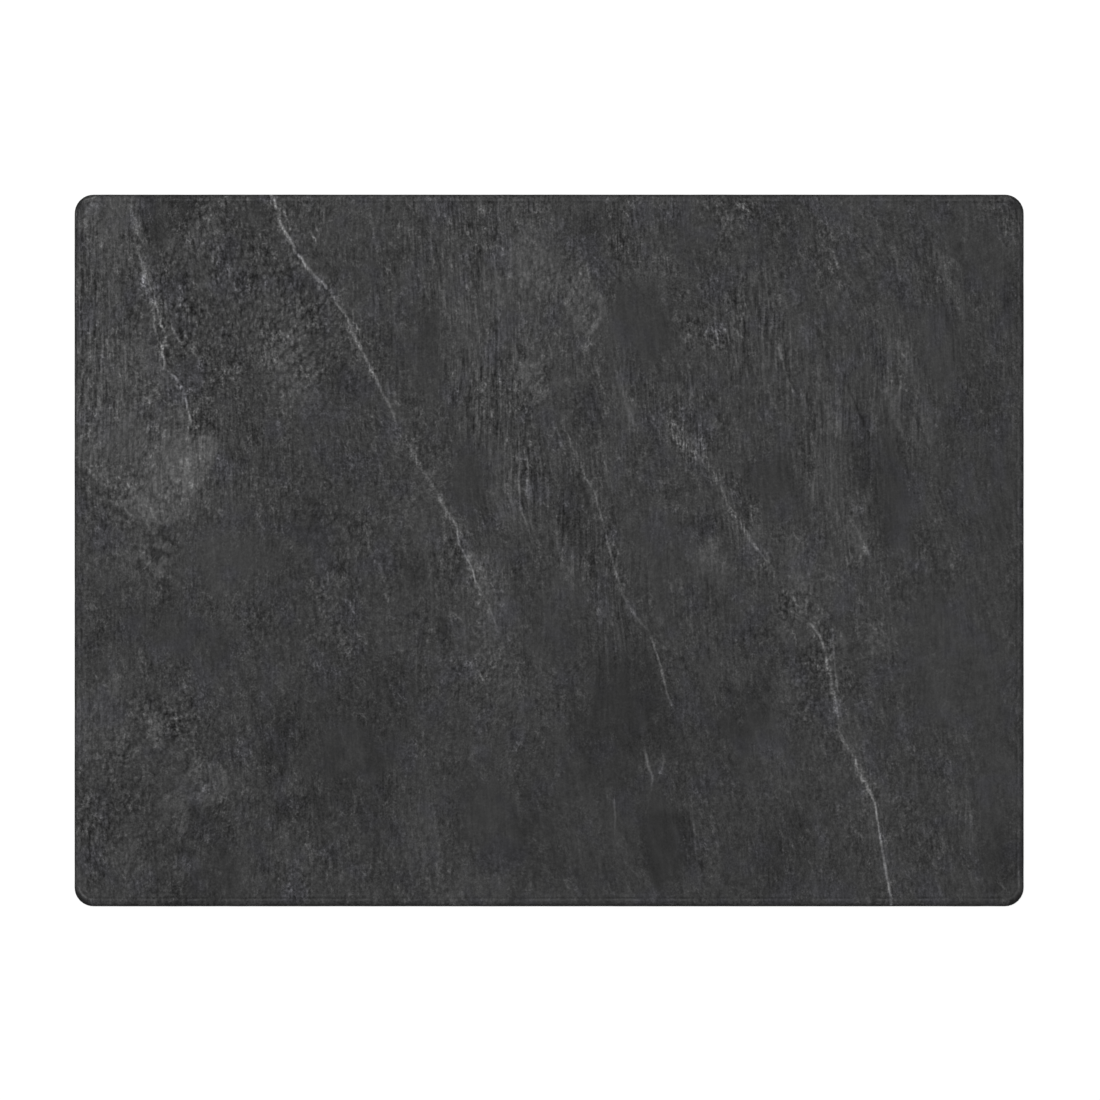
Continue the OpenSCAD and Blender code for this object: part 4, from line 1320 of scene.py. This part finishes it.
def white_where_seen(tree, shader, share, level):
    """Mixes plain white light of this level into a shader for rays from the camera, mirrors and glass."""
    path = tree.nodes.new("ShaderNodeLightPath")
    seen = path.outputs["Is Camera Ray"]
    for name in ("Is Glossy Ray", "Is Transmission Ray"):
        most = tree.nodes.new("ShaderNodeMath")
        most.operation = "MAXIMUM"
        tree.links.new(seen, most.inputs[0])
        tree.links.new(path.outputs[name], most.inputs[1])
        seen = most.outputs[0]
    part = tree.nodes.new("ShaderNodeMath")
    part.operation = "MULTIPLY"
    part.inputs[1].default_value = share
    tree.links.new(seen, part.inputs[0])
    white = tree.nodes.new("ShaderNodeEmission")
    white.inputs["Strength"].default_value = level
    mix = tree.nodes.new("ShaderNodeMixShader")
    tree.links.new(part.outputs[0], mix.inputs[0])
    tree.links.new(shader, mix.inputs[1])
    tree.links.new(white.outputs[0], mix.inputs[2])
    return mix.outputs[0]


def studio_floor():
    """A plain white floor under the feet, which keeps the board's shadow."""
    paint = bpy.data.materials.new("studio_white")
    paint.use_nodes = True
    tree = paint.node_tree
    surface = tree.nodes["Principled BSDF"]
    surface.inputs["Base Color"].default_value = (FLOOR_WHITE, FLOOR_WHITE, FLOOR_WHITE, 1)
    surface.inputs["Roughness"].default_value = 1.0
    surface.inputs["Specular IOR Level"].default_value = 0.0
    seen = white_where_seen(tree, surface.outputs[0], FLOOR_SEEN, FLOOR_LEVEL)
    tree.links.new(seen, tree.nodes["Material Output"].inputs["Surface"])
    half = FLOOR_HALF
    low = -FLOOR_DROP
    corners = [(-half, -half, low), (half, -half, low), (half, half, low), (-half, half, low)]
    floor = mesh_object("studio_floor", corners, [[0, 1, 2, 3]], paint)


def soft_lamp(name, watts, side, place):
    """A square lamp that faces the middle of the board and isn't seen itself."""
    lamp = bpy.data.lights.new(name, "AREA")
    lamp.energy = watts
    lamp.size = side
    holder = bpy.data.objects.new(name, lamp)
    holder.location = place
    holder.rotation_euler = (-holder.location).to_track_quat("-Z", "Y").to_euler()
    holder.visible_camera = False
    bpy.context.scene.collection.objects.link(holder)


def studio_light():
    """Even white surroundings, a broad lamp overhead and a softer one from the back left."""
    world = bpy.data.worlds.new("studio")
    world.use_nodes = True
    tree = world.node_tree
    around = tree.nodes["Background"]
    around.inputs["Color"].default_value = (1, 1, 1, 1)
    around.inputs["Strength"].default_value = WORLD_LIGHT
    seen = white_where_seen(tree, around.outputs[0], WORLD_SEEN, WORLD_LEVEL)
    tree.links.new(seen, tree.nodes["World Output"].inputs["Surface"])
    bpy.context.scene.world = world
    for lamp in LAMPS:
        soft_lamp(*lamp)


def camera_above():
    """A long lens looking straight down, at the height where the outline's widest line fills its pixels."""
    lens = bpy.data.cameras.new("camera")
    lens.lens = LENS
    lens.sensor_width = SENSOR
    eye = bpy.data.objects.new("camera", lens)
    pixel = 2 * HALF_LENGTH * MM / BOARD_PIXELS
    distance = LENS / SENSOR * PICTURE_PIXELS * pixel
    widest = (FACE_Z - UPPER_ROLL) * MM
    right = (PICTURE_PIXELS / 2 - BOARD_CENTRE_PIXEL[0]) * pixel
    back = (BOARD_CENTRE_PIXEL[1] - PICTURE_PIXELS / 2) * pixel
    eye.location = (right, back, widest + distance)
    bpy.context.scene.collection.objects.link(eye)
    bpy.context.scene.camera = eye


camera_above()
studio_floor()
studio_light()
slab = riven_slab(slate_material())
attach(slab, "root")
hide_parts("slate_slab")
rubber = rubber_material()
foam = foam_material()
for corner in ("front_left", "front_right", "back_left", "back_right"):
    place_foot(corner, rubber, foam)
bpy.context.scene.view_settings.view_transform = "Standard"
